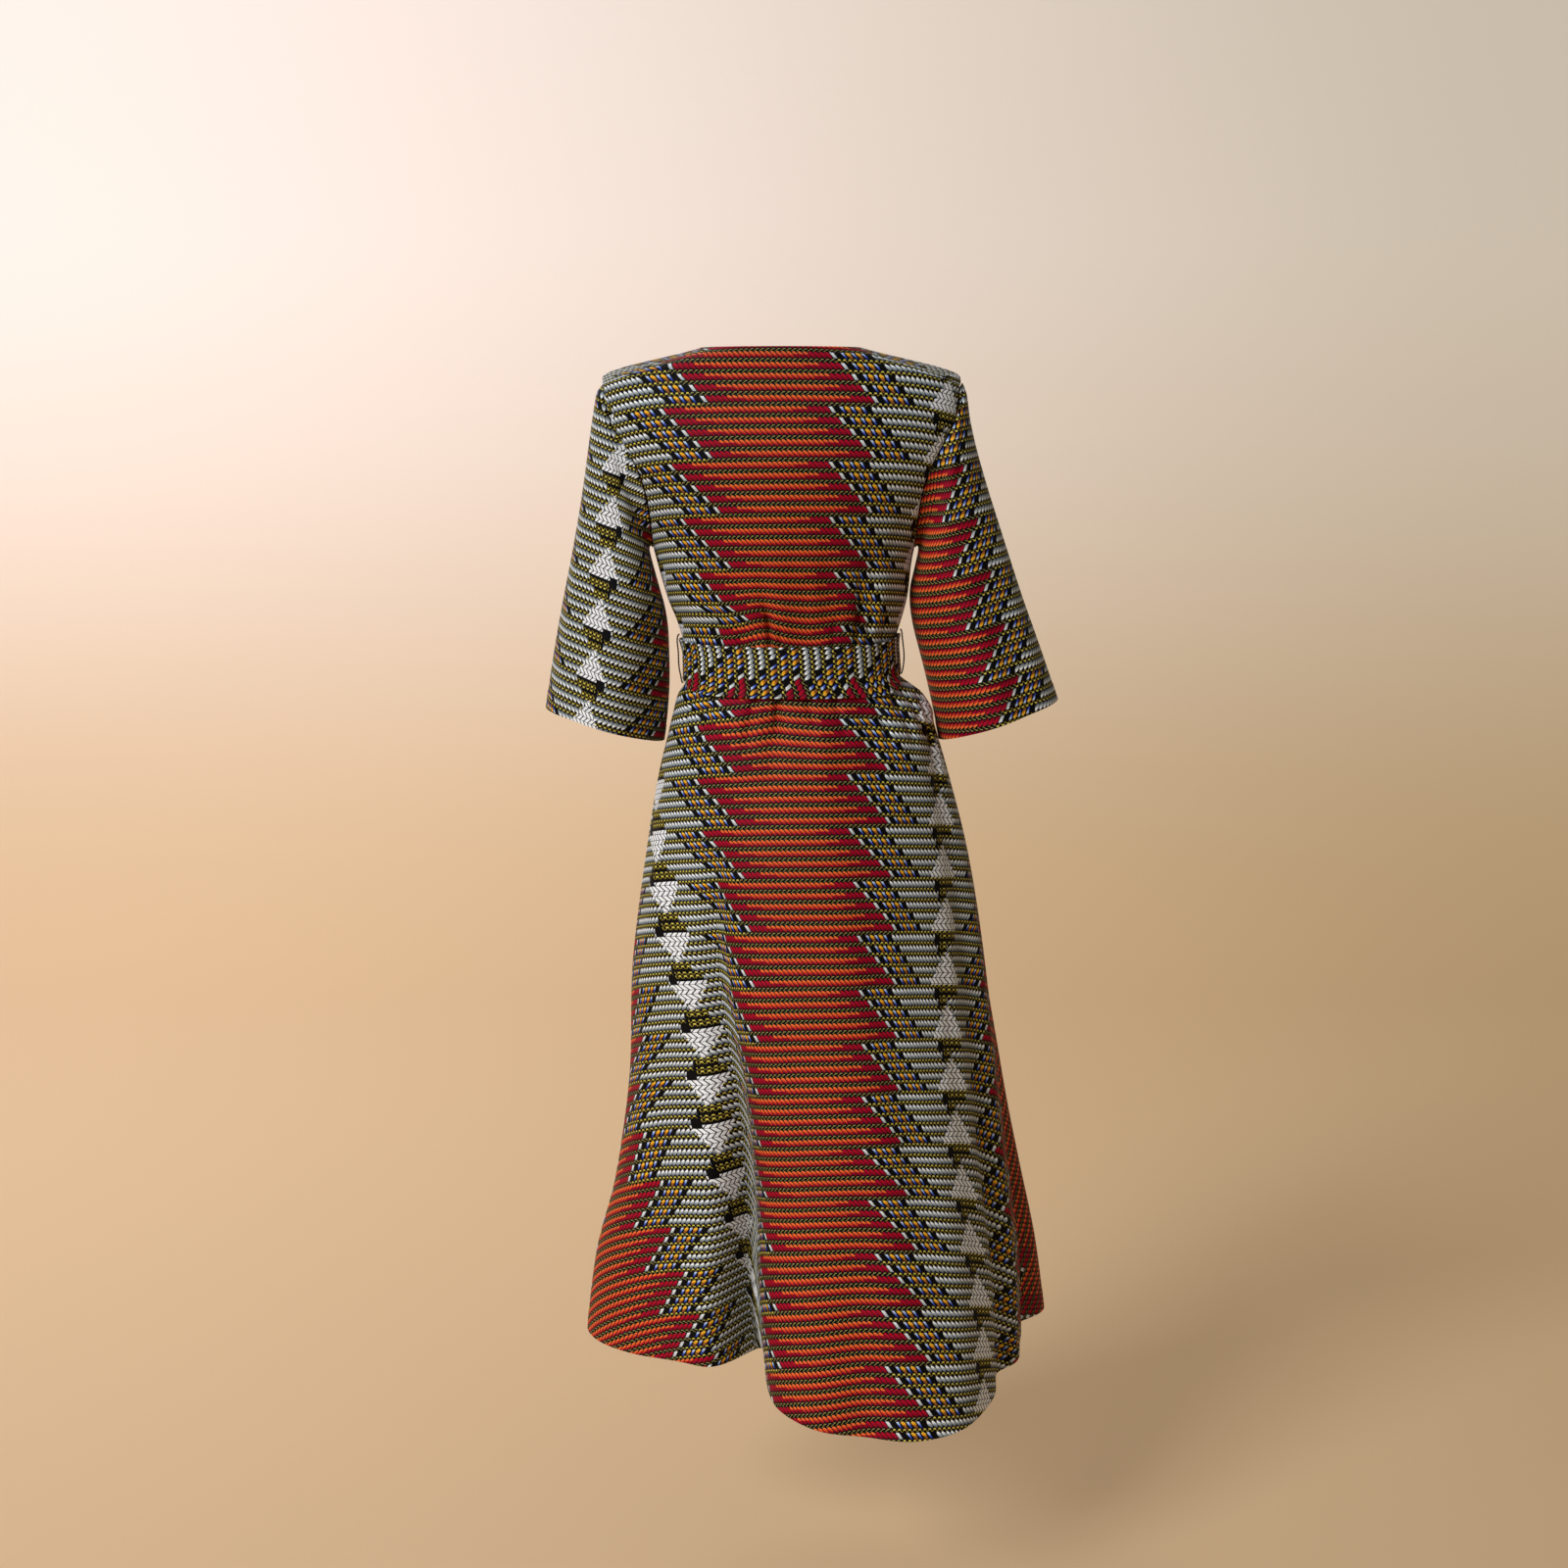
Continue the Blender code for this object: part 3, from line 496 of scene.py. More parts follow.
def body_surface(angle, z, lift=0.0, creased=True):
    """Points of the worn cloth, moved out by a lift."""
    angle, z = np.asarray(angle, float), np.asarray(z, float)
    turned = np.radians(angle)
    half_width = spline(SECTIONS, "z", "half_width", z)
    half_depth = np.where(np.cos(turned) > 0.0, spline(SECTIONS, "z", "back", z),
                          spline(SECTIONS, "z", "front", z))
    centre = spline(SECTIONS, "z", "centre_x", z)
    out = unit(np.stack([np.sin(turned) / half_width, -np.cos(turned) / half_depth], -1))
    stand = fold_depth(angle, z) + lift
    if creased:
        stand = stand + crease_depth(angle, z)
    x = centre + half_width * np.sin(turned) + out[..., 0] * stand
    y = -half_depth * np.cos(turned) + out[..., 1] * stand
    return np.stack([x, y, z + 0.0 * turned], -1)


def body_normal(angle, z, creased=True):
    """The way out of the cloth."""
    across = body_surface(angle + 0.4, z, 0.0, creased) - body_surface(angle - 0.4, z, 0.0, creased)
    upward = body_surface(angle, z + 0.001, 0.0, creased) - body_surface(angle, z - 0.001, 0.0, creased)
    return unit(np.cross(across, upward))


print("centre back at the waist:", body_surface(0.0, WAIST_Z).round(4))

# %% [markdown]
# ## The panels
# A back or a front is known by two shares: across, from one edge to the other, and down,
# from the shoulder seam to the hem. These functions turn the shares into a place on the
# body, in the way that the CAD does. The first centimetre rolls over the shoulder to the
# seam, which the CAD does with one flat row and this cloth with a curve.

# %% Where a panel's points lie
FIRST_ROW = mix(-SHOULDER_DROP, ARMPIT_Z, 0.1 ** 1.5)
ROLL_PROBE = 0.002


def side_half_width(z):
    return np.where(z > ARMPIT_Z, spline(ARMHOLE, "z", "half_width", z),
                    spline(SECTIONS, "z", "half_width", z))


def panel_place(z_row, turned, front):
    """Angle and height of a panel's points, from their row and their turn from the centre."""
    reach = side_half_width(z_row) * np.sin(turned)
    top_reach = np.abs(SHOULDER_HALF * np.sin(turned))
    slope = (SHOULDER_HALF - np.maximum(top_reach, NECK_HALF)) / (SHOULDER_HALF - NECK_HALF)
    fade = 1.0 - smooth((-SHOULDER_DROP - z_row) / (-SHOULDER_DROP - ARMPIT_Z))
    z = z_row + SHOULDER_DROP * slope * fade
    share = np.clip(reach / spline(SECTIONS, "z", "half_width", z), -1.0, 1.0)
    on_seam = (z_row >= -SHOULDER_DROP) & ((top_reach >= NECK_HALF) | front)
    angle = np.degrees(np.arcsin(np.where(on_seam, np.copysign(1.0, reach), share)))
    if front:
        angle = 180.0 - angle
    skirt = WAIST_Z + (z_row - WAIST_Z) * (hem_height(angle) - WAIST_Z) / (HEM_Z - WAIST_Z)
    return angle, np.where(z_row < WAIST_Z, skirt, z)


def back_place(z_row, share):
    angle, z = panel_place(z_row, np.radians(spline(COLUMNS, "share", "angle", share)), False)
    return angle, z, 0.0 * z


def front_place(side, z_row, share):
    """Angle, height and lift on a front, from its edge (share 0) to its side seam (share 1)."""
    edge = np.arcsin(spline(FRONT_EDGE, "z", "reach", z_row) / side_half_width(z_row))
    turned = mix(edge, 0.5 * math.pi, share)
    angle, z = panel_place(z_row, turned, True)
    lap = 1.0 - smooth((np.degrees(turned) - LAP_TURN) / LAP_FADE)
    lap = lap * smooth((-z - 0.03) / 0.12)
    return (angle if side > 0 else 360.0 - angle), z, (LAP_UP if side > 0 else -LAP_DOWN) * lap


def rolled(place, z_row, lift=0.0):
    """Points of a panel, with its first row rolled over the shoulder to the seam."""
    def points(row, more):
        angle, z, own = place(row)
        return body_surface(angle, z, own + more)

    z_row = np.asarray(z_row, float)
    result = points(np.minimum(z_row, FIRST_ROW), lift)
    first = points(np.full_like(z_row, FIRST_ROW), lift)
    below = points(np.full_like(z_row, FIRST_ROW - ROLL_PROBE), lift)
    seam = points(np.full_like(z_row, -SHOULDER_DROP), lift)
    gap = -SHOULDER_DROP - FIRST_ROW
    t = np.clip((-SHOULDER_DROP - z_row) / gap, 0.0, 1.0)[..., None]
    leave = (below - first) * (gap / ROLL_PROBE)
    start = 1.5 * (first - seam) - 0.5 * leave
    curve = (seam * (1 + 2 * t) * (1 - t) ** 2 + first * t * t * (3 - 2 * t)
             + start * t * (1 - t) ** 2 + leave * t * t * (t - 1))
    return np.where((z_row > FIRST_ROW)[..., None], curve, result)


print("first row below the shoulder seam:", round(float(FIRST_ROW), 4))

# %% [markdown]
# ## Cloth in flat metres
# A print follows the threads of the cloth, not the body. So each piece gets a UV map in
# metres of flat cloth: u runs along the print's rows and v down across them. On the body u
# is the length walked round the folded surface from the centre back, and v the length
# walked down, less the drop that rows make towards the sides of a flared skirt.

# %% Lengths along the worn surface
CHART_ANGLES = np.linspace(-100.0, 280.0, 1521)
CHART_HEIGHTS = np.linspace(0.0, -1.27, 128)
BACK_GRAIN = table("Grain", "z shift stretch bend lost lost_more fall tilt drop sag sunk sunk_more", [
    (0.000, 0.0376, 0.948, -0.19, 0.000, 0.000, -0.0056, -0.010, -0.08, 0.9, 0.000, 0.000),
    (-0.100, 0.0393, 0.993, -0.19, 0.000, 0.000, -0.0074, 0.003, -0.12, 0.9, 0.000, 0.000),
    (-0.200, 0.0348, 1.076, -0.14, 0.000, 0.000, -0.0089, 0.006, -0.15, 0.9, 0.000, 0.000),
    (-0.280, 0.0240, 1.130, -0.09, 0.000, 0.000, -0.0111, 0.002, -0.17, 0.5, 0.000, 0.000),
    (-0.345, 0.0206, 1.118, -0.09, 0.000, 0.000, -0.0131, 0.000, -0.19, 0.0, 0.000, 0.000),
    (-0.410, 0.0452, 1.004, -0.38, 0.000, 0.000, 0.0073, 0.008, -0.57, 0.0, 0.000, 0.000),
    (-0.480, 0.0393, 1.016, -0.28, 0.000, 0.000, 0.0059, 0.015, -0.51, 0.0, 0.000, 0.000),
    (-0.560, 0.0403, 1.036, -0.15, 0.000, 0.000, 0.0071, 0.016, -0.41, 0.0, 0.000, 0.000),
    (-0.660, 0.0321, 1.060, 0.03, -0.003, -0.099, 0.0099, 0.016, -0.43, 0.0, 0.002, -0.009),
    (-0.780, 0.0308, 1.086, 0.16, -0.015, -0.241, 0.0107, 0.046, -0.61, 0.0, 0.027, -0.082),
    (-0.900, 0.0405, 1.050, -0.08, -0.023, -0.269, 0.0147, 0.072, -0.78, 0.0, 0.054, -0.215),
    (-1.020, 0.0266, 1.089, -0.34, -0.023, -0.100, 0.0204, 0.087, -1.00, 0.0, 0.072, -0.392),
    (-1.140, 0.0105, 1.085, -0.51, -0.032, -0.020, 0.0131, 0.153, -1.03, 0.0, 0.126, -0.442),
    (-1.250, 0.0058, 1.099, -0.46, -0.021, -0.002, 0.0068, 0.206, -1.01, 0.0, 0.174, -0.461),
])
SAG_START = 0.12
EASED = table("Eased", "u z run width ease", [
    (-0.1815, -0.650, 0.190, 0.045, 0.42), (0.2291, -0.760, 0.330, 0.045, 0.46),
])
DEEP_FOLD = FOLDS[1]
DEEP_FOLD_MIDDLE = 0.22
DRAWN = table("Drawn", "angle z spread run size", [
    (-13.0, -0.330, 9.0, 0.045, 0.0062), (10.0, -0.330, 9.0, 0.040, -0.0022),
    (-36.0, -0.335, 9.0, 0.035, -0.0016), (-13.0, -0.440, 9.0, 0.040, 0.0030),
    (12.0, -0.440, 9.0, 0.035, -0.0016), (30.0, -0.320, 8.0, 0.050, 0.0020),
])


def walk_round():
    """Length walked round the body at each height, zero at the centre back."""
    angles, heights = np.meshgrid(CHART_ANGLES, CHART_HEIGHTS)
    points = body_surface(angles, heights)
    steps = length_of(np.diff(points, axis=1))
    walked = np.concatenate([np.zeros((len(CHART_HEIGHTS), 1)), np.cumsum(steps, axis=1)], axis=1)
    start = int(np.argmin(np.abs(CHART_ANGLES)))
    return walked - walked[:, start:start + 1]


WALKED = walk_round()


def walked_at(angle, z):
    """Read the walked length between the places where it was worked out."""
    column = (angle - CHART_ANGLES[0]) / (CHART_ANGLES[1] - CHART_ANGLES[0])
    row = (z - CHART_HEIGHTS[0]) / (CHART_HEIGHTS[1] - CHART_HEIGHTS[0])
    c = np.clip(column.astype(int), 0, len(CHART_ANGLES) - 2)
    r = np.clip(row.astype(int), 0, len(CHART_HEIGHTS) - 2)
    a, b = column - c, row - r
    upper = mix(WALKED[r, c], WALKED[r, c + 1], a)
    lower = mix(WALKED[r + 1, c], WALKED[r + 1, c + 1], a)
    return mix(upper, lower, b)


def back_chart(angle, z):
    """Flat metres of cloth on the back."""
    grain = {name: spline(BACK_GRAIN, "z", name, z) for name in BACK_GRAIN[0]._fields[1:]}
    walked = walked_at(angle, z)
    down = np.clip((z - DEEP_FOLD.start) / (HEM_Z - DEEP_FOLD.start), 0.0, 1.0)
    fold_middle = mix(DEEP_FOLD.top_angle, DEEP_FOLD.hem_angle, down)
    beyond = np.clip((fold_middle + 2.0 - angle) / 4.0, 0.0, 1.0)
    past = walked + DEEP_FOLD_MIDDLE
    u = grain["shift"] + walked * (grain["stretch"] + grain["bend"] * np.abs(walked))
    v = grain["fall"] - z + walked * (grain["tilt"] + grain["drop"] * walked)
    v = v - grain["sag"] * np.maximum(np.abs(walked) - SAG_START, 0.0) ** 2
    for pull in DRAWN:
        v = v + pull.size * bump(turn(angle, pull.angle), pull.spread) * bump(z - pull.z, pull.run)
    u = u + beyond * (grain["lost"] + grain["lost_more"] * past)
    for easing in EASED:
        aside = u - easing.u
        u = u - aside * easing.ease * bump(aside, easing.width) * bump(z - easing.z, easing.run)
    return u, v + beyond * (grain["sunk"] + grain["sunk_more"] * past)


def front_chart(angle, z, side):
    """Flat metres of cloth on a front, from its own centre line."""
    walked = side * (walked_at(180.0 + 0.0 * angle, z) - walked_at(angle, z))
    fall, drop = (spline(BACK_GRAIN, "z", name, z) for name in ("fall", "drop"))
    return side * walked + 0.11, fall - z + drop * walked ** 2


once_round = walked_at(np.array([-90.0, 270.0]), HEM_Z)
print("girth level with the side hems:", round(float(np.ptp(once_round)), 3), "m")

# %% [markdown]
# ## Laying cloth on the form
# Every flat piece of cloth starts as Blender's own grid. Its two shares are handed to a
# function that gives the place on the body and to another that gives the flat metres. The
# outermost cells are kept very narrow, so the turned edge catches light as a thin line. A
# Solidify modifier then gives the wall its thickness, inwards.

# %% From a grid to a piece of cloth
EDGE_CELL = 0.0008


def edge_shares(share, cells, length, closed):
    """Spread shares evenly, with one very narrow cell at each open edge."""
    if closed:
        return share
    narrow = EDGE_CELL / length
    inside = narrow + (share * cells - 1.0) / (cells - 2.0) * (1.0 - 2.0 * narrow)
    inside = np.where(share * cells < 0.5, 0.0, inside)
    return np.where(share * cells > cells - 0.5, 1.0, inside)


def finish_piece(name, data, material):
    data.shade_smooth()
    data.materials.append(material)
    piece = bpy.data.objects.new(name, data)
    bpy.context.scene.collection.objects.link(piece)
    return piece


def lay_cloth(name, cells, size, place, chart, material, thickness=CLOTH, closed=False, core=None):
    """A piece of cloth: cells and size are (across, down), and core is a point inside the form."""
    grid = bmesh.new()
    bmesh.ops.create_grid(grid, x_segments=cells[0], y_segments=cells[1], size=1.0)
    data = bpy.data.meshes.new(name)
    grid.to_mesh(data)
    grid.free()
    spots = np.empty(len(data.vertices) * 3, np.float32)
    data.vertices.foreach_get("co", spots)
    spots = spots.reshape(-1, 3).astype(float)
    across = edge_shares(0.5 * (spots[:, 0] + 1.0), cells[0], size[0], closed)
    down = edge_shares(0.5 * (1.0 - spots[:, 1]), cells[1], size[1], False)
    points = place(across, down)
    flat = np.stack(chart(across, down), -1)
    data.vertices.foreach_set("co", points.astype(np.float32).ravel())
    corners = np.empty(len(data.loops), np.int32)
    data.loops.foreach_get("vertex_index", corners)
    layer = data.uv_layers.new(name="cloth")
    layer.uv.foreach_set("vector", flat[corners].astype(np.float32).ravel())
    data.update()

    cloth = bmesh.new()
    cloth.from_mesh(data)
    if closed:
        bmesh.ops.remove_doubles(cloth, verts=cloth.verts[:], dist=1e-5)
    middle = Vector(points.mean(axis=0)) if core is None else Vector(core)
    outward = 0.0
    for face in cloth.faces:
        centre = face.calc_center_median()
        away = centre - middle
        if core is not None:
            away.z = 0.0
        outward += face.normal.dot(away) * face.calc_area()
    if outward < 0.0:
        bmesh.ops.reverse_faces(cloth, faces=cloth.faces[:])
    area = sum(face.calc_area() for face in cloth.faces)
    cloth.to_mesh(data)
    cloth.free()
    piece = finish_piece(name, data, material)
    if thickness:
        wall = piece.modifiers.new("wall", "SOLIDIFY")
        wall.thickness = thickness
        wall.offset = -1.0
    print(name, "area", round(area, 4), "m2, faces", len(data.polygons))
    return piece


BODY_CORE = (0.02, 0.0, 0.0)

# %% [markdown]
# ## A language for the print
# The print is drawn by a shader node group. Writing each Math node by hand would be long
# and hard to read, so a small class stands for a value that changes over the cloth. Plain
# arithmetic on it adds the nodes.

# %% Arithmetic that makes nodes


class Field:
    """A value that changes over the cloth."""

    tree = None

    def __init__(self, socket):
        self.socket = socket

    @classmethod
    def work(cls, operation, *values):
        node = cls.tree.nodes.new("ShaderNodeMath")
        node.operation = operation
        for slot, value in zip(node.inputs, values):
            if isinstance(value, Field):
                cls.tree.links.new(value.socket, slot)
            else:
                slot.default_value = value
        return Field(node.outputs[0])

    def __add__(self, other):
        return Field.work("ADD", self, other)

    def __radd__(self, other):
        return Field.work("ADD", other, self)

    def __sub__(self, other):
        return Field.work("SUBTRACT", self, other)

    def __rsub__(self, other):
        return Field.work("SUBTRACT", other, self)

    def __mul__(self, other):
        return Field.work("MULTIPLY", self, other)

    def __rmul__(self, other):
        return Field.work("MULTIPLY", other, self)

    def __lt__(self, other):
        return Field.work("LESS_THAN", self, other)

    def __gt__(self, other):
        return Field.work("GREATER_THAN", self, other)


def size_of(value):
    return Field.work("ABSOLUTE", value)


def whole(value):
    """The whole number nearest to a value."""
    return Field.work("FLOOR", value + 0.5)


def wrap(value, half):
    """A value brought back between minus half and half."""
    return Field.work("WRAP", value, half, -half)


def either(first, second):
    return Field.work("MAXIMUM", first, second)


def equals(value, number):
    return Field.work("COMPARE", value, number, 0.4)


def colour_ramp(value, stops):
    """Colours along a value from 0 to 1."""
    node = Field.tree.nodes.new("ShaderNodeValToRGB")
    Field.tree.links.new(value.socket, node.inputs["Fac"])
    elements = node.color_ramp.elements
    while len(elements) < len(stops):
        elements.new(0.5)
    for element, (place, colour) in zip(elements, stops):
        element.position = place
        element.color = colour
    return node.outputs["Color"]


def paint(under, over, mask):
    """Lay one colour over another where the mask is one."""
    node = Field.tree.nodes.new("ShaderNodeMix")
    node.data_type = "RGBA"
    Field.tree.links.new(mask.socket, node.inputs[0])
    for slot, colour in ((node.inputs[6], under), (node.inputs[7], over)):
        if isinstance(colour, tuple):
            slot.default_value = colour
        else:
            Field.tree.links.new(colour, slot)
    return node.outputs[2]


print("a field is read with", Field.__name__)

# %% [markdown]
# ## The wax print
# The cloth imitates strip weaving. Rows of braid alternate with thin rows of olive hooks.
# Along a row an orange zone of 31 strokes is followed by a white stroke, a black one, three
# blue ones with two amber ones between them, and a black one. White braid comes next, which
# is broken by triangles of white basket bars.
# Each zone's ends move two strokes a row and start again after five rows, so the edges
# run as saw teeth. The next zone along is the same, mirrored. A common repeat such as this
# can be charted by hand and drawn from its rules, with no image at all.

# %% Wax print node group
STROKE = 0.00595
ROW = 0.01245
REPEAT = 138.0
ZONE_HALF = 16.0
STEP = 2.0
MIRROR = 77.0
BRAID = 0.66
LEAN = 0.95

BLACK = screen(6, 5, 7)
WHITE = screen(250, 252, 255)
DARK_RED = screen(44, 2, 12)
KHAKI = screen(158, 150, 84)
OLIVE = screen(138, 122, 44)
DOT = screen(224, 208, 90)


def new_group(name, inputs, outputs):
    """A node group with named sockets, and its two end nodes."""
    tree = bpy.data.node_groups.new(name, "ShaderNodeTree")
    for kind, label in inputs:
        tree.interface.new_socket(label, in_out="INPUT", socket_type=kind)
    for kind, label in outputs:
        tree.interface.new_socket(label, in_out="OUTPUT", socket_type=kind)
    return tree, tree.nodes.new("NodeGroupInput"), tree.nodes.new("NodeGroupOutput")


wax_tree, wax_in, wax_out = new_group(
    "wax_print", [("NodeSocketVector", "Cloth")],
    [("NodeSocketColor", "Color"), ("NodeSocketFloat", "Ink")])
Field.tree = wax_tree
split = wax_tree.nodes.new("ShaderNodeSeparateXYZ")
wax_tree.links.new(wax_in.outputs["Cloth"], split.inputs[0])

# %% [markdown]
# Each point of the cloth first learns its row, its stroke in the row, and how far it lies from
# the middle of the nearest zone. Every later mask is made from these few numbers.

# %% Rows, strokes and zones
along = Field(split.outputs["X"]) * (1.0 / STROKE)
downward = Field(split.outputs["Y"]) * (1.0 / ROW)
row_number = Field.work("FLOOR", downward)
in_row = downward - row_number
five = Field.work("FLOORED_MODULO", row_number, 5.0)
shift = five * STEP
from_first = wrap(along - shift, 0.5 * REPEAT)
from_second = wrap(MIRROR - shift - along, 0.5 * REPEAT)
mirrored = size_of(from_second) < size_of(from_first)
x = from_first + mirrored * (from_second - from_first)

braid = in_row < BRAID
fall = in_row * (1.0 / BRAID)
hook_fall = (in_row - BRAID) * (1.0 / (1.0 - BRAID))
hook_row = 1.0 - braid

leaning = x - LEAN * (fall - 0.5)
stroke_number = whole(leaning)
side = (leaning - stroke_number) * 2.0
aside = size_of(side)
slot_out = size_of(stroke_number) - ZONE_HALF
corner = 0.34 * (aside * aside)
full = (fall > corner) * (fall < 1.0 - corner)
tooth = (fall > 1.7 * corner) * (fall < 1.0 - 1.5 * corner) * (aside < 0.62 + 0.50 * fall) * (aside < 0.90)

# %% [markdown]
# Between two rows of braid lies a thin dark row. Inside a zone it holds small khaki hooks, and
# outside it an olive zigzag with yellow dots.

# %% Olive hooks
outside = size_of(x) > ZONE_HALF + 0.5
hook_line = (size_of(wrap(x + 0.85 * hook_fall, 0.5)) < 0.085) * (hook_fall > 0.06) * (hook_fall < 0.94)
hook_dash = (size_of(wrap(x + 0.10, 0.5)) < 0.24) * (hook_fall > 0.06) * (hook_fall < 0.28)
zigzag = either(size_of(wrap(x + 0.5 * hook_fall, 0.5)) < 0.075,
                size_of(wrap(x - 0.5 * hook_fall, 0.5)) < 0.075)
dot = (size_of(wrap(x, 0.5)) < 0.22) * (hook_fall > 0.06) * (hook_fall < 0.42)
picture = paint(BLACK, KHAKI, either(hook_line, hook_dash) * hook_row)
picture = paint(picture, BLACK, hook_row * outside)
picture = paint(picture, OLIVE, either(zigzag, dot) * hook_row * outside)
picture = paint(picture, DOT, dot * hook_row * outside)

# %% [markdown]
# A zone's strokes run from light orange to dark red down the row, and turn crimson at its ends.

# %% Orange zones
inside_zone = braid * (slot_out < -0.5)
shade = fall - 0.20 * side
orange = colour_ramp(shade, [
    (0.00, screen(252, 134, 66)), (0.30, screen(238, 98, 44)), (0.50, screen(212, 60, 36)),
    (0.70, screen(160, 14, 36)), (0.98, screen(62, 0, 22))])
crimson = colour_ramp(shade, [
    (0.00, screen(184, 12, 44)), (0.55, screen(158, 4, 36)), (0.98, screen(74, 0, 22))])
picture = paint(picture, DARK_RED, inside_zone * full)
picture = paint(picture, orange, inside_zone * full * (aside < 0.80))
ending = either(slot_out > -4.5, (slot_out > -7.5) * (fall > 0.42))
picture = paint(picture, crimson, inside_zone * full * (aside < 0.84) * ending)

# %% [markdown]
# The strokes past a zone's end are told apart by their count from it. All of them grow darker
# down the row, as if each were a small cord lit from above.

# %% White braid, lozenges, blue and amber strokes
braid_white = colour_ramp(fall, [
    (0.00, WHITE), (0.28, WHITE), (0.46, screen(180, 190, 194)), (0.72, screen(122, 130, 136)),
    (0.98, screen(72, 74, 82))])
lozenge_white = colour_ramp(fall, [
    (0.00, WHITE), (0.45, screen(214, 220, 222)), (1.00, screen(146, 152, 156))])
blue = colour_ramp(fall, [
    (0.00, screen(238, 244, 255)), (0.30, screen(172, 196, 246)), (0.58, screen(64, 92, 200)),
    (0.95, screen(18, 26, 96))])
amber = colour_ramp(fall, [
    (0.00, screen(255, 208, 66)), (0.40, screen(242, 160, 28)), (0.56, screen(160, 100, 44)),
    (1.00, screen(112, 66, 30))])
picture = paint(picture, braid_white, braid * tooth * (slot_out > 7.5))
picture = paint(picture, lozenge_white,
                (fall > 0.06) * (fall < 0.90) * equals(slot_out, 0.0) * (aside < 0.66))
blues = equals(slot_out, 2.0) + equals(slot_out, 4.0) + equals(slot_out, 6.0)
picture = paint(picture, blue, braid * (fall > 0.06) * (fall < 0.97) * blues * (aside < 0.54 - 0.22 * fall))
ambers = equals(slot_out, 3.0) + equals(slot_out, 5.0)
amber_room = (in_row < BRAID + 0.05) * (fall > 0.8 * corner) * (fall < 1.08 - corner)
picture = paint(picture, amber, amber_room * ambers * (aside < 0.98 - 0.52 * fall))

# %% [markdown]
# Where two zones face each other, the saw teeth leave valleys and peaks. White bars in two
# half rows fill some as triangles, and dark patches with olive hooks fill the others.

# %% Triangles of basket bars and of hooks
half_rows = shift + hook_row
right_side = x > 0.0
to_valley = 38.5 - shift - x
to_peak = x + 30.5 + shift
opening = equals(half_rows, 9.0)
peak_rows = half_rows - 10.0 * opening
valley_white = right_side * (to_valley < 0.625 * (half_rows - 2.4)) * (half_rows < 8.5)
peak_white = (1.0 - right_side) * (to_peak < 0.625 * (4.8 - peak_rows))
basket = either(valley_white, peak_white)
upper_bar = in_row < 0.56
bar_fall = in_row * (1.0 / 0.56)
lower_fall = (in_row - 0.56) * (1.0 / 0.44)
bar_braid = size_of(wrap(along - 0.95 * (bar_fall - 0.5), 0.5)) < 0.37
bar_braid = bar_braid * (bar_fall > 0.05) * (bar_fall < 0.96)
bar_hook = size_of(wrap(along + 0.80 * (lower_fall - 0.5), 0.5)) < 0.37
bar_hook = bar_hook * (lower_fall > 0.06) * (lower_fall < 0.96)
bars = upper_bar * bar_braid + (1.0 - upper_bar) * bar_hook
picture = paint(picture, BLACK, basket)
picture = paint(picture, WHITE, basket * bars)

valley_dark = right_side * (to_valley < 2.7 - 0.4 * shift) * (shift < 3.0 - 2.0 * mirrored)
peak_dark = (1.0 - right_side) * (to_peak < 0.7 * shift - 2.2) * (shift > 5.0)
dark = either(valley_dark, peak_dark)
low_hook = either(size_of(wrap(x + 0.7 * fall, 0.5)) < 0.10,
                  size_of(wrap(x - 0.7 * fall, 0.5)) < 0.10) * (fall < 0.56)
low_dot = (size_of(wrap(x, 0.5)) < 0.23) * (fall > 0.06) * (fall < 0.28)
picture = paint(picture, BLACK, dark * braid)
picture = paint(picture, OLIVE, dark * braid * low_hook)
picture = paint(picture, DOT, dark * braid * low_dot)
solid = either(valley_dark * (1.0 - mirrored) * (to_valley > 1.4),
               peak_dark * mirrored * (to_peak > 1.4))
picture = paint(picture, BLACK, solid)
wax_tree.links.new(picture, wax_out.inputs["Color"])
wax_tree.links.new((braid * full).socket, wax_out.inputs["Ink"])
print("nodes in the print:", len(wax_tree.nodes))

# %% [markdown]
# ## Weave
# Up close, cotton is a plain weave of threads a third of a millimetre apart. Real threads
# would be millions of tubes, so the weave is a height that a Bump node reads. It follows
# the same flat metres as the print. The group also gives slow, faint changes of the ink.

# %% Weave node group
weave_tree, weave_in, weave_out = new_group(
    "plain_weave",
    [("NodeSocketVector", "Cloth"), ("NodeSocketFloat", "Pitch")],
    [("NodeSocketFloat", "Height"), ("NodeSocketFloat", "Fade")])
Field.tree = weave_tree
split = weave_tree.nodes.new("ShaderNodeSeparateXYZ")
weave_tree.links.new(weave_in.outputs["Cloth"], split.inputs[0])
pitch = Field(weave_in.outputs["Pitch"])
warp = Field.work("SINE", Field.work("DIVIDE", Field(split.outputs["X"]) * (2.0 * math.pi), pitch))
weft = Field.work("SINE", Field.work("DIVIDE", Field(split.outputs["Y"]) * (2.0 * math.pi), pitch))
height = 0.5 + 0.25 * (warp * weft) + 0.12 * (warp + weft)
slubs = weave_tree.nodes.new("ShaderNodeTexNoise")
slubs.inputs["Scale"].default_value = 55.0
slubs.inputs["Detail"].default_value = 3.0
weave_tree.links.new(weave_in.outputs["Cloth"], slubs.inputs["Vector"])
weave_tree.links.new((height + 0.5 * Field(slubs.outputs[0])).socket, weave_out.inputs["Height"])
wash = weave_tree.nodes.new("ShaderNodeTexNoise")
wash.inputs["Scale"].default_value = 9.0
wash.inputs["Detail"].default_value = 2.0
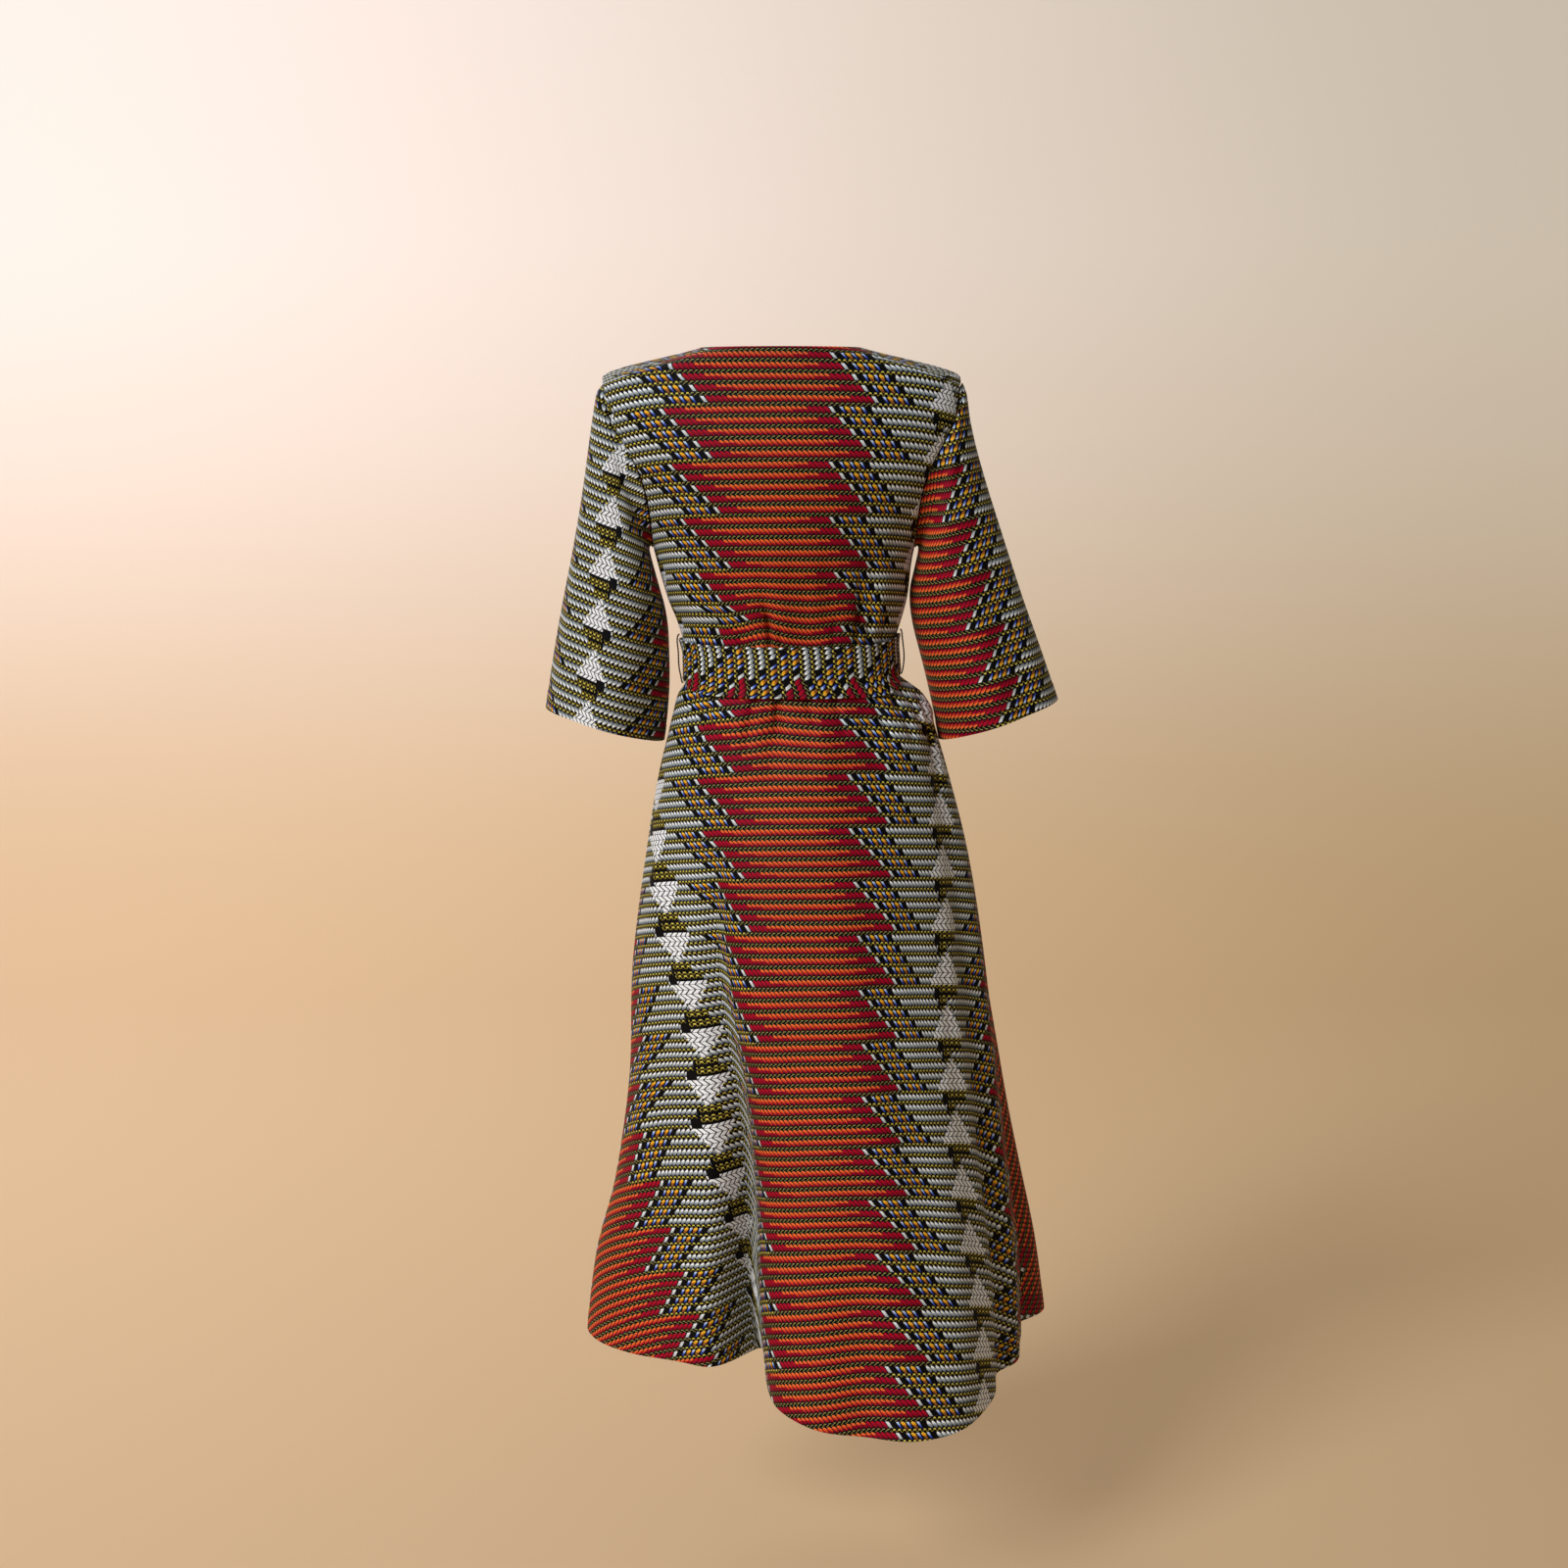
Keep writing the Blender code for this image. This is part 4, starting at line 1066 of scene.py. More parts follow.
weave_tree.links.new(weave_in.outputs["Cloth"], wash.inputs["Vector"])
weave_tree.links.new((0.90 + 0.20 * Field(wash.outputs[0])).socket, weave_out.inputs["Fade"])
print("nodes in the weave:", len(weave_tree.nodes))

# %% [markdown]
# ## The two finishes
# The waxed cotton is smooth with a low sheen where light grazes it. The belt loops and the
# stitches are a matt, dark, twisted thread.

# %% Materials


def new_material(name, roughness, sheen):
    material = bpy.data.materials.new(name)
    material.use_nodes = True
    shader = material.node_tree.nodes["Principled BSDF"]
    shader.inputs["Roughness"].default_value = roughness
    shader.inputs["Sheen Weight"].default_value = sheen
    shader.inputs["Sheen Roughness"].default_value = 0.45
    shader.inputs["Specular IOR Level"].default_value = 0.10
    return material, material.node_tree, shader


def add_bump(tree, shader, height, strength, distance):
    node = tree.nodes.new("ShaderNodeBump")
    node.inputs["Strength"].default_value = strength
    node.inputs["Distance"].default_value = distance
    tree.links.new(height, node.inputs["Height"])
    tree.links.new(node.outputs["Normal"], shader.inputs["Normal"])


def use_group(tree, group, uv_socket):
    node = tree.nodes.new("ShaderNodeGroup")
    node.node_tree = group
    tree.links.new(uv_socket, node.inputs["Cloth"])
    return node


wax_cotton, tree, shader = new_material("wax_print_cotton", 0.66, 0.02)
uv = tree.nodes.new("ShaderNodeUVMap")
uv.uv_map = "cloth"
printed = use_group(tree, wax_tree, uv.outputs["UV"])
woven = use_group(tree, weave_tree, uv.outputs["UV"])
woven.inputs["Pitch"].default_value = 0.00066
faded = tree.nodes.new("ShaderNodeMix")
faded.data_type = "RGBA"
faded.blend_type = "MULTIPLY"
faded.inputs[0].default_value = 1.0
tree.links.new(printed.outputs["Color"], faded.inputs[6])
tree.links.new(woven.outputs["Fade"], faded.inputs[7])
tree.links.new(faded.outputs[2], shader.inputs["Base Color"])
add_bump(tree, shader, woven.outputs["Height"], 0.30, 0.00012)

dark_thread, tree, shader = new_material("dark_thread", 0.70, 0.20)
uv = tree.nodes.new("ShaderNodeUVMap")
uv.uv_map = "cloth"
twisted = use_group(tree, weave_tree, uv.outputs["UV"])
twisted.inputs["Pitch"].default_value = 0.0009
add_bump(tree, shader, twisted.outputs["Height"], 0.5, 0.0001)
# Painted shade in part: the thread is darker where its weave and twist lie low and lighter on their crests,
# and its slow slubs vary the tone at random.
hollow_shade_tint = tree.nodes.new("ShaderNodeValToRGB")
hollow_shade_tint.color_ramp.elements[0].color = screen(20, 15, 18)
hollow_shade_tint.color_ramp.elements[1].color = screen(62, 52, 54)
tree.links.new(twisted.outputs["Height"], hollow_shade_tint.inputs["Fac"])
tree.links.new(hollow_shade_tint.outputs["Color"], shader.inputs["Base Color"])
print("materials:", wax_cotton.name, dark_thread.name)

# %% [markdown]
# ## The back
# The back is one piece from neck to hem, with no seam down its middle or at the waist. Its
# long edges are sewn to the fronts and sleeves, so they dip a little into the seam. The hem
# and the neck are turned under once. Only the outer side is modelled: a band along them
# stands half a millimetre out, and no second layer lies behind it.

# %% Seam dip and turned hems
SEAM_DIP = 0.0018
SEAM_ROUND = 0.0026
HEM_FOLD = 0.022
HEM_RISE = 0.0005
NECK_FOLD = 0.008


def row_of(down):
    """Height of a row at the side edge, closer together at the shoulder."""
    return np.where(down < 0.16, mix(-SHOULDER_DROP, ARMPIT_Z, np.clip(down / 0.16, 0, 1) ** 1.25),
                    mix(ARMPIT_Z, HEM_Z, np.clip((down - 0.16) / 0.84, 0, 1)))


def turned_edges(hem_distance, seam_distance):
    """How far the cloth stands out at its turned hem and dips at its seams."""
    rise = HEM_RISE * smooth((HEM_FOLD - hem_distance) / 0.0015)
    dip = SEAM_DIP * bump(seam_distance, SEAM_ROUND)
    return rise - dip


def back_points(across, down):
    z_row = row_of(down)
    angle, z, _ = back_place(np.minimum(z_row, FIRST_ROW), across)
    here = body_surface(angle, z)
    left = body_surface(*back_place(np.minimum(z_row, FIRST_ROW), 0.0 * across)[:2])
    right = body_surface(*back_place(np.minimum(z_row, FIRST_ROW), 0.0 * across + 1.0)[:2])
    seam = np.minimum(length_of(here - left), length_of(here - right))
    shoulder = np.maximum(-SHOULDER_DROP - z_row, 0.0) * 4.0
    turned = np.radians(spline(COLUMNS, "share", "angle", across))
    on_neck = np.abs(SHOULDER_HALF * np.sin(turned)) < NECK_HALF
    seam = np.where(on_neck, seam, np.minimum(seam, shoulder))
    lift = turned_edges(z - hem_height(angle), seam)
    lift = lift + np.where(on_neck & (-z < NECK_FOLD), HEM_RISE, 0.0)
    points = rolled(lambda row: back_place(row, across), z_row, lift)
    points[..., 1] -= 0.5 * SEAM_GAP
    return points


def back_flat(across, down):
    z_row = row_of(down)
    angle, z, _ = back_place(np.minimum(z_row, FIRST_ROW), across)
    u, v = back_chart(angle, z)
    first = body_surface(*back_place(np.full_like(z_row, FIRST_ROW), across)[:2])
    over = length_of(rolled(lambda row: back_place(row, across), z_row) - first)
    return u, v - np.where(z_row > FIRST_ROW, over, 0.0)


back = lay_cloth("coat_back", (184, 262), (0.62, 1.28), back_points, back_flat, wax_cotton, core=BODY_CORE)
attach(back, "root")
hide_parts("back_panel")

# %% [markdown]
# ## The fronts
# The two fronts are not seen in the photograph. They are cut plainly, from the shoulder to
# the hem, and lap over one another from the chest down. The right one lies on top.

# %% Two fronts


def make_front(name, side):
    def place(row, across):
        return front_place(side, row, across)

    def points_at(across, down):
        z_row = row_of(down)
        first = np.minimum(z_row, FIRST_ROW)
        angle, z, own = place(first, across)
        here = body_surface(angle, z, own)
        seam = length_of(here - body_surface(*place(first, 0.0 * across + 1.0)))
        edge = length_of(here - body_surface(*place(first, 0.0 * across)))
        seam = np.minimum(seam, np.maximum(-SHOULDER_DROP - z_row, 0.0) * 4.0)
        lift = turned_edges(np.minimum(z - hem_height(angle), edge + 0.006), seam)
        points = rolled(lambda row: place(row, across), z_row, lift)
        points[..., 1] += 0.5 * SEAM_GAP
        return points

    def flat_at(across, down):
        z_row = row_of(down)
        angle, z, _ = place(np.minimum(z_row, FIRST_ROW), across)
        u, v = front_chart(angle, z, side)
        first = body_surface(*place(np.full_like(z_row, FIRST_ROW), across)[:2])
        over = length_of(rolled(lambda row: place(row, across), z_row) - first)
        return u, v - np.where(z_row > FIRST_ROW, over, 0.0)

    piece = lay_cloth(name, (104, 230), (0.34, 1.22), points_at, flat_at, wax_cotton, core=BODY_CORE)
    return piece, points_at


front_left, front_left_points = make_front("coat_front_left", -1)
front_right, front_right_points = make_front("coat_front_right", 1)
for piece, node in ((front_left, "left_front"), (front_right, "right_front")):
    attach(piece, "root")
    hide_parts(node)

# %% [markdown]
# ## The sleeves
# A set-in sleeve leaves the armhole and eases into the arm's tube. It is a little fuller
# than the armhole at its head, so the seam puckers in short radial dimples. Both sleeves are
# cut with the cloth turned upside down, and their rows run square to the arm.

# %% Armhole and sleeve tube
SLEEVE_STATIONS = 12
SLEEVE_CREASES = table("SleeveCrease", "angle share end_angle end_share width depth", [
    (40.0, 0.16, 74.0, 0.52, 9.0, -0.0020), (96.0, 0.20, 78.0, 0.70, 10.0, -0.0018),
    (128.0, 0.12, 112.0, 0.46, 9.0, -0.0022), (30.0, 0.45, 40.0, 0.95, 11.0, 0.0018),
    (140.0, 0.40, 132.0, 0.92, 12.0, -0.0022), (84.0, 0.60, 88.0, 1.00, 9.0, 0.0016),
    (210.0, 0.15, 236.0, 0.55, 11.0, -0.0020), (262.0, 0.30, 270.0, 0.90, 12.0, -0.0020),
    (318.0, 0.20, 306.0, 0.75, 11.0, 0.0018), (340.0, 0.50, 346.0, 1.00, 10.0, -0.0016),
])
PUCKERS = table("Pucker", "angle width depth run", [
    (4.0, 3.2, -0.0011, 0.060), (13.0, 2.8, -0.0013, 0.075), (24.0, 3.6, -0.0010, 0.055),
    (36.0, 3.0, -0.0012, 0.080), (51.0, 4.0, -0.0008, 0.060), (70.0, 5.0, -0.0007, 0.050),
    (352.0, 3.0, -0.0012, 0.070), (341.0, 3.4, -0.0010, 0.060), (328.0, 3.2, -0.0012, 0.075),
    (312.0, 4.2, -0.0008, 0.055), (292.0, 5.0, -0.0007, 0.050),
])


def armhole_rows():
    """Row of the armhole for each degree of the sleeve's turn, from its top to its foot."""
    rows = np.linspace(-SHOULDER_DROP, ARMPIT_Z, 400)
    points = rolled(lambda row: (*panel_place(row, 0.5 * math.pi, False), 0.0), rows)
    walked = np.concatenate([[0.0], np.cumsum(length_of(np.diff(points, axis=0)))])
    return np.degrees(math.pi * walked / walked[-1]), rows


def armhole(side, turns):
    """Points and outward directions of an armhole at the sleeve's turns."""
    angles, rows = armhole_rows()
    z_row = np.interp(np.where(turns <= 180.0, turns, 360.0 - turns), angles, rows)
    halves = []
    for front in (False, True):
        def place(row, front=front):
            angle, z = panel_place(row, 0.5 * math.pi, front)
            return angle, z, 0.0
        angle, z, _ = place(np.minimum(z_row, FIRST_ROW))
        points = rolled(place, z_row)
        normals = body_normal(angle, z)
        top = np.clip((z_row - FIRST_ROW) / (-SHOULDER_DROP - FIRST_ROW), 0.0, 1.0)[..., None]
        normals = unit(mix(normals, np.array([1.0, 0.0, 0.1]), top))
        halves.append((points, normals))
    back_half = (turns <= 180.0)[..., None]
    points = np.where(back_half, halves[0][0], halves[1][0])
    normals = np.where(back_half, halves[0][1], halves[1][1])
    along = np.roll(points, -1, axis=0) - np.roll(points, 1, axis=0)
    away = unit(np.cross(normals, along))
    flip = np.array([side, 1.0, 1.0])
    return points * flip, away * flip


def sleeve_tube(stations, side, share, turns):
    """One ring of the arm's tube, share running from the armhole to the cuff."""
    last = len(stations) - 1
    i = min(int(share * last), last - 1)
    t = share * last - i
    near = (stations[max(i - 1, 0)], stations[i], stations[i + 1], stations[min(i + 2, last)])

    def read(column):
        a, b, c, d = (getattr(station, column) for station in near)
        return 0.5 * (2 * b + (c - a) * t + (2 * a - 5 * b + 4 * c - d) * t * t
                      + (3 * b - a - 3 * c + d) * t ** 3)

    turned = np.radians(turns)[..., None]
    across = 0.5 * np.array([read("outer_x") - read("inner_x"), 0.0, read("outer_z") - read("inner_z")])
    middle = np.array([0.5 * (read("outer_x") + read("inner_x")), read("mid_y"),
                       0.5 * (read("outer_z") + read("inner_z"))])
    depth = np.array([0.0, read("half_depth"), 0.0])
    points = middle + across * np.cos(turned) - depth * np.sin(turned)
    for fold in SLEEVE_FOLDS:
        size = fold.depth * smooth((share - fold.start) / (1.0 - fold.start))
        size = size * bump(turn(turns, fold.angle), fold.spread)
        points = points + unit(points - middle) * size[..., None]
    return points * np.array([side, 1.0, 1.0]), middle * np.array([side, 1.0, 1.0])


def sleeve_detail(turns, share):
    """Creases and puckers of a sleeve, as a distance out of its wall."""
    out = 0.0 * turns
    for crease in SLEEVE_CREASES:
        along = (share - crease.share) / (crease.end_share - crease.share)
        centre = crease.angle + (crease.end_angle - crease.angle) * smooth(along)
        fade = smooth((along + 0.15) / 0.5) * smooth((1.15 - along) / 0.5)
        out = out + crease.depth * fade * bump(turn(turns, centre), crease.width)
    for pucker in PUCKERS:
        near = smooth(share / 0.012) * np.exp(-share / pucker.run)
        out = out + pucker.depth * near * bump(turn(turns, pucker.angle), pucker.width)
    return out


print("armhole rows:", len(armhole_rows()[1]), "puckers:", len(PUCKERS))

# %% [markdown]
# A sleeve is a stack of rings, the first one on the armhole and the last one at the cuff. Its
# flat metres are walked round the arm from the cuff and down along the line of its top.

# %% Two sleeves
SLEEVE_CELLS = (150, 150)
SleeveGrain = namedtuple("SleeveGrain", "u u_round u_down v v_round v_down")
SLEEVE_GRAIN = {1: SleeveGrain(0.2615, -0.917, -0.055, 0.2730, 0.060, -0.968),
                -1: SleeveGrain(-0.1102, -1.000, 0.066, 0.0909, 0.120, -1.035)}


def make_sleeve(name, side, stations, material):
    cells = SLEEVE_CELLS
    turns = (180.0 + 360.0 * np.arange(cells[0]) / cells[0]) % 360.0
    loop, away = armhole(side, turns)
    rings = [loop + away * SEAM_GAP]
    middles = [loop.mean(axis=0)]
    for s in range(1, SLEEVE_STATIONS + 1):
        ring, middle = sleeve_tube(stations, side, s / SLEEVE_STATIONS, turns)
        if s == 1:
            ring = 0.5 * (loop + away * ARMHOLE_STEP) + 0.5 * ring
        rings.append(ring)
        middles.append(middle)
    rings, middles = np.array(rings), np.array(middles)
    head = rings[0][np.argmin(np.abs(turn(turns, 0.0)))]
    grain = unit(rings[-1][np.argmin(np.abs(turn(turns, 0.0)))] - head)

    def surface(across, down):
        """Read the rings between their points, on curves through them."""
        column = np.rint(across * cells[0]).astype(int) % cells[0]
        place = down * SLEEVE_STATIONS
        i = np.clip(place.astype(int), 0, SLEEVE_STATIONS - 1)
        t = (place - i)[..., None]
        a, b = rings[np.maximum(i - 1, 0), column], rings[i, column]
        c, d = rings[i + 1, column], rings[np.minimum(i + 2, SLEEVE_STATIONS), column]
        points = 0.5 * (2 * b + (c - a) * t + (2 * a - 5 * b + 4 * c - d) * t * t
                        + (3 * b - a - 3 * c + d) * t ** 3)
        middle = mix(middles[i], middles[i + 1], t)
        stand = sleeve_detail(turns[column], down) + HEM_RISE * smooth((down - 0.95) / 0.004)
        stand = stand - SEAM_DIP * bump(down * 0.42, SEAM_ROUND)
        return points + unit(points - middle) * stand[..., None]

    def flat_at(across, down):
        rows = np.unique(down)
        columns = np.arange(cells[0] + 1)
        grid = surface(np.tile(columns / cells[0], (len(rows), 1)), np.tile(rows[:, None], (1, len(columns))))
        facing = np.cross(np.gradient(grid, axis=1), np.gradient(grid, axis=0))
        round_way = unit(np.cross(np.broadcast_to(grain, facing.shape), facing))
        if (np.diff(grid, axis=1) * round_way[:, 1:]).sum() < 0.0:
            round_way = -round_way
        beside = (np.diff(grid, axis=1) * 0.5 * (round_way[:, 1:] + round_way[:, :-1])).sum(axis=-1)
        below = (np.diff(grid, axis=0) * 0.5 * (round_way[1:] + round_way[:-1])).sum(axis=-1)
        cuff = np.concatenate([[0.0], np.cumsum(beside[-1])])
        cuff = cuff - cuff[cells[0] // 2]
        climbed = np.concatenate([np.cumsum(below[::-1], axis=0)[::-1], np.zeros((1, below.shape[1]))])
        walked = cuff[None, :] - climbed
        fallen = (grid - head) @ grain
        r = np.searchsorted(rows, down)
        c = np.rint(across * cells[0]).astype(int)
        round_arm, down_arm = -side * walked[r, c], fallen[r, c]
        grain_at = SLEEVE_GRAIN[side]
        return (grain_at.u + grain_at.u_round * round_arm + grain_at.u_down * down_arm,
                grain_at.v + grain_at.v_round * round_arm + grain_at.v_down * down_arm)

    return lay_cloth(name, cells, (0.48, 0.42), surface, flat_at, material, closed=True), surface


sleeve_left, sleeve_left_points = make_sleeve("coat_sleeve_left", -1, LEFT_SLEEVE, wax_cotton)
sleeve_right, sleeve_right_points = make_sleeve("coat_sleeve_right", 1, RIGHT_SLEEVE, wax_cotton)
for piece, node in ((sleeve_left, "left_sleeve"), (sleeve_right, "right_sleeve")):
    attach(piece, "root")
    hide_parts(node)

# %% [markdown]
# ## The belt
# The belt is a band of the same cloth, cut along the length of the cloth, so the print's
# rows stand upright on it. It is doubled, six centimetres high, and pulled firm, with
# a few shallow creases where it turns round the waist.

# %% Belt band
BELT_CREASES = table("BeltCrease", "angle slant width depth", [
    (-9.0, 1.5, 1.4, -0.0022), (-5.0, -1.0, 2.0, 0.0010), (18.0, 3.0, 2.2, -0.0009),
    (34.0, -4.0, 2.6, -0.0011), (58.0, 4.0, 3.0, -0.0012), (-34.0, -3.0, 2.6, -0.0011),
    (-62.0, 5.0, 3.4, -0.0013), (96.0, -5.0, 3.6, -0.0013), (122.0, 4.0, 3.0, -0.0010),
    (152.0, 8.0, 3.4, -0.0012), (203.0, -8.0, 3.4, -0.0012), (232.0, 4.0, 3.0, -0.0010),
    (264.0, -4.0, 3.4, -0.0012),
])
BELT_RISES = table("Rise", "angle spread top bottom", [
    (90.0, 28.0, 0.010, 0.026), (270.0, 28.0, 0.004, 0.015),
])
BELT_U = 0.1172
BELT_V = -0.0133
BELT_PULL = 0.94


def belt_rise(angle, down):
    """How far the belt rides up at the sides, where the loops hold it and it is drawn together."""
    return sum(mix(rise.top, rise.bottom, down) * bump(turn(angle, rise.angle), rise.spread)
               for rise in BELT_RISES)


def belt_surface(angle, z, lift):
    front = 0.5 * (1.0 - np.cos(np.radians(angle)))
    return body_surface(angle, z, lift + BELT_OFF + BELT_LAP_OFF * front, creased=False)


def belt_points(across, down):
    angle = 180.0 + 360.0 * across
    z = WAIST_Z + BELT_HEIGHT * (0.5 - down) + belt_rise(angle, down)
    high = 2.0 * down - 1.0
    lift = 0.0 * angle
    for crease in BELT_CREASES:
        offset = turn(angle, crease.angle + crease.slant * high)
        lift = lift + crease.depth * bump(offset, crease.width) * mix(0.55, 1.0, smooth(np.abs(high)))
    edge = np.minimum(down, 1.0 - down) * BELT_HEIGHT
    lift = lift - 0.0006 * bump(edge, 0.0012) - 0.0003 * bump(edge - 0.004, 0.0007)
    return belt_surface(angle, z, lift)


def belt_flat(across, down):
    rounds = np.linspace(0.0, 1.0, 1441)
    middle = belt_surface(180.0 + 360.0 * rounds, np.full_like(rounds, WAIST_Z), 0.0)
    walked = np.concatenate([[0.0], np.cumsum(length_of(np.diff(middle, axis=0)))])
    from_back = np.interp(across, rounds, walked) - np.interp(0.5, rounds, walked)
    return BELT_U + BELT_HEIGHT * (1.0 - down), BELT_V + BELT_PULL * from_back


belt = lay_cloth("belt_band", (420, 18), (0.66, BELT_HEIGHT), belt_points, belt_flat, wax_cotton,
                 thickness=BELT_THICK, closed=True, core=BODY_CORE)
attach(belt, "root")
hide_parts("belt")

# %% [markdown]
# ## Knot and hanging ends
# At the hidden front the belt is tied once. The knot is a rounded pad of cloth with pleats
# drawn across it, made from a sphere that is squared and creased. Two ends hang from it,
# narrow where they leave the knot and then opening to the belt's full height.

# %% Belt knot
KNOT_PLEATS = table("Pleat", "slant place width depth", [
    (0.55, 0.00, 0.20, -0.0034), (0.48, 0.52, 0.15, -0.0020), (0.62, -0.50, 0.16, -0.0022),
    (0.50, 0.92, 0.14, -0.0014), (0.60, -0.88, 0.14, -0.0014),
])


def make_knot():
    seat = belt_surface(np.array(KNOT_ANGLE), np.array(WAIST_Z), 0.0)
    centre = Vector(seat) + Vector((0.0, KNOT_HALF_DEPTH + 3.0 * SEAM_GAP, 0.0))
    mesh = bmesh.new()
    bmesh.ops.create_uvsphere(mesh, u_segments=96, v_segments=64, radius=1.0)
    layer = mesh.loops.layers.uv.new("cloth")
    shares = {}
    for vert in mesh.verts:
        x, y, z = (math.copysign(abs(value) ** KNOT_SQUARE, value) for value in vert.co)
        front = float(smooth(y))
        crease = KNOT_CREASE * float(bump(x + 0.55 * z, 0.30)) * front * 0.4
        for pleat in KNOT_PLEATS:
            crease -= 0.6 * pleat.depth * front * float(bump(x + pleat.slant * z - pleat.place, pleat.width))
        shares[vert.index] = (0.030 + z * 0.030, 0.010 + (x + 0.4 * y) * 0.034)
        vert.co = centre + Vector((x * KNOT_HALF_WIDTH, y * KNOT_HALF_DEPTH - crease, z * KNOT_HALF_HEIGHT))
    for face in mesh.faces:
        for loop in face.loops:
            loop[layer].uv = shares[loop.vert.index]
    bmesh.ops.recalc_face_normals(mesh, faces=mesh.faces[:])
    data = bpy.data.meshes.new("belt_knot_cloth")
    mesh.to_mesh(data)
    mesh.free()
    return finish_piece("belt_knot_cloth", data, wax_cotton)


knot = make_knot()
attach(knot, "root")
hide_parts("belt_knot")
print("knot faces:", len(knot.data.polygons))

# %% [markdown]
# Each end is a strip that hangs from just below the knot, clear of the skirt. Small pleats
# gather it where it leaves the knot, and a soft ripple runs down it.

# %% Belt ends
ENDS = (("belt_end_left", -1, BELT_END_LENGTH), ("belt_end_right", 1, BELT_END_LENGTH - BELT_END_DROP))


def end_surface(side, length, across, down, lift=0.0):
    start = WAIST_Z - KNOT_HALF_HEIGHT - SEAM_GAP
    z = start - length * down
    width = mix(BELT_END_NECK, BELT_HEIGHT, smooth(down * 3.0))
    radius = spline(SECTIONS, "z", "half_width", z)
    apart = 0.5 * width + mix(0.001, 0.016, down)
    middle = KNOT_ANGLE - side * np.degrees(apart / radius)
    angle = middle + np.degrees(width * (across - 0.5) / radius)
    stand = mix(BELT_END_STAND_TOP, BELT_END_STAND, smooth(down * 2.2))
    ripple = BELT_END_RIPPLE * np.sin(3.0 * math.pi * across) * smooth(down * 3.0)
    gathered = 0.0016 * np.sin(7.0 * math.pi * across) * (1.0 - smooth(down * 4.0))
    return body_surface(angle, z, stand + ripple + gathered + lift, creased=False), width


def make_end(name, side, length):
    def points_at(across, down):
        edge = np.minimum(np.minimum(across, 1 - across) * BELT_HEIGHT, (1 - down) * length)
        return end_surface(side, length, across, down, -0.0004 * bump(edge, 0.0015))[0]

    def flat_at(across, down):
        width = end_surface(side, length, across, down)[1]
        fullness = mix(BELT_HEIGHT, width, smooth(down * 3.0))
        return 0.14 + fullness * (across - 0.5) * -side, 0.30 + length * down

    return lay_cloth(name + "_cloth", (36, 150), (BELT_HEIGHT, length), points_at, flat_at, wax_cotton,
                     thickness=BELT_THICK, core=BODY_CORE)


for node, side, length in ENDS:
    piece = make_end(node, side, length)
    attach(piece, "root")
    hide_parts(node)

# %% [markdown]
# ## Belt loops
# At each side seam a loop of dark thread holds the belt. It is two strands twisted
# together. A grid rolled into a tube, with its section pinched and slowly turning, gives
# that twist in one closed piece.

# %% Thread loops
LOOP_TWISTS = 15.0
LOOP_PINCH = 0.26


def make_loop(name, angle):
    reach = 0.5 * BELT_HEIGHT + LOOP_OVER
    foot = LOOP_RADIUS + LOOP_FOOT

    def path(share):
        z = WAIST_Z + mix(reach, -reach, share) + belt_rise(angle, share)
        stand = foot + (LOOP_STAND + BELT_OFF - foot) * np.sin(math.pi * np.clip(share, 0, 1)) ** 0.5
        return body_surface(angle + 0.0 * share, z, stand, creased=False)

    def points_at(across, down):
        here = path(down)
        along = unit(path(np.clip(down + 0.01, 0, 1)) - path(np.clip(down - 0.01, 0, 1)))
        side = np.array([0.0, 1.0, 0.0]) + 0.0 * along
        lift = unit(np.cross(along, side))
        turned = 2.0 * math.pi * across
        radius = LOOP_RADIUS * (1.12 - LOOP_PINCH * np.abs(np.sin(turned - math.pi * LOOP_TWISTS * down)))
        offset = side * np.cos(turned)[..., None] + lift * np.sin(turned)[..., None]
        return here + offset * radius[..., None]

    def flat_at(across, down):
        return 0.006 * across, 0.075 * down

    loop = lay_cloth(name, (14, 120), (0.006, 0.075), points_at, flat_at, dark_thread,
                     thickness=0.0, closed=True)
    ends = bmesh.new()
    ends.from_mesh(loop.data)
    bmesh.ops.holes_fill(ends, edges=[edge for edge in ends.edges if edge.is_boundary], sides=0)
    bmesh.ops.recalc_face_normals(ends, faces=ends.faces[:])
    ends.to_mesh(loop.data)
    ends.free()
    return loop


for node, angle in (("belt_loop_left", -90.0), ("belt_loop_right", 90.0)):
    loop = make_loop(node + "_thread", angle)
    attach(loop, "root")
    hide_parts(node)

# %% [markdown]
# ## Stitches
# Turned hems are held by a row of machine stitches. Each stitch is a small stretched sphere
# with few faces, laid on the cloth along a line and sunk a little into it. One piece holds
# a whole row, because hundreds of separate objects would be hard to handle.

# %% A row of stitches
STITCH = 0.0026
STITCH_PITCH = 0.0036
STITCH_WIDE = 0.00034
STITCH_HIGH = 0.00026
STITCH_STAND = 0.0001


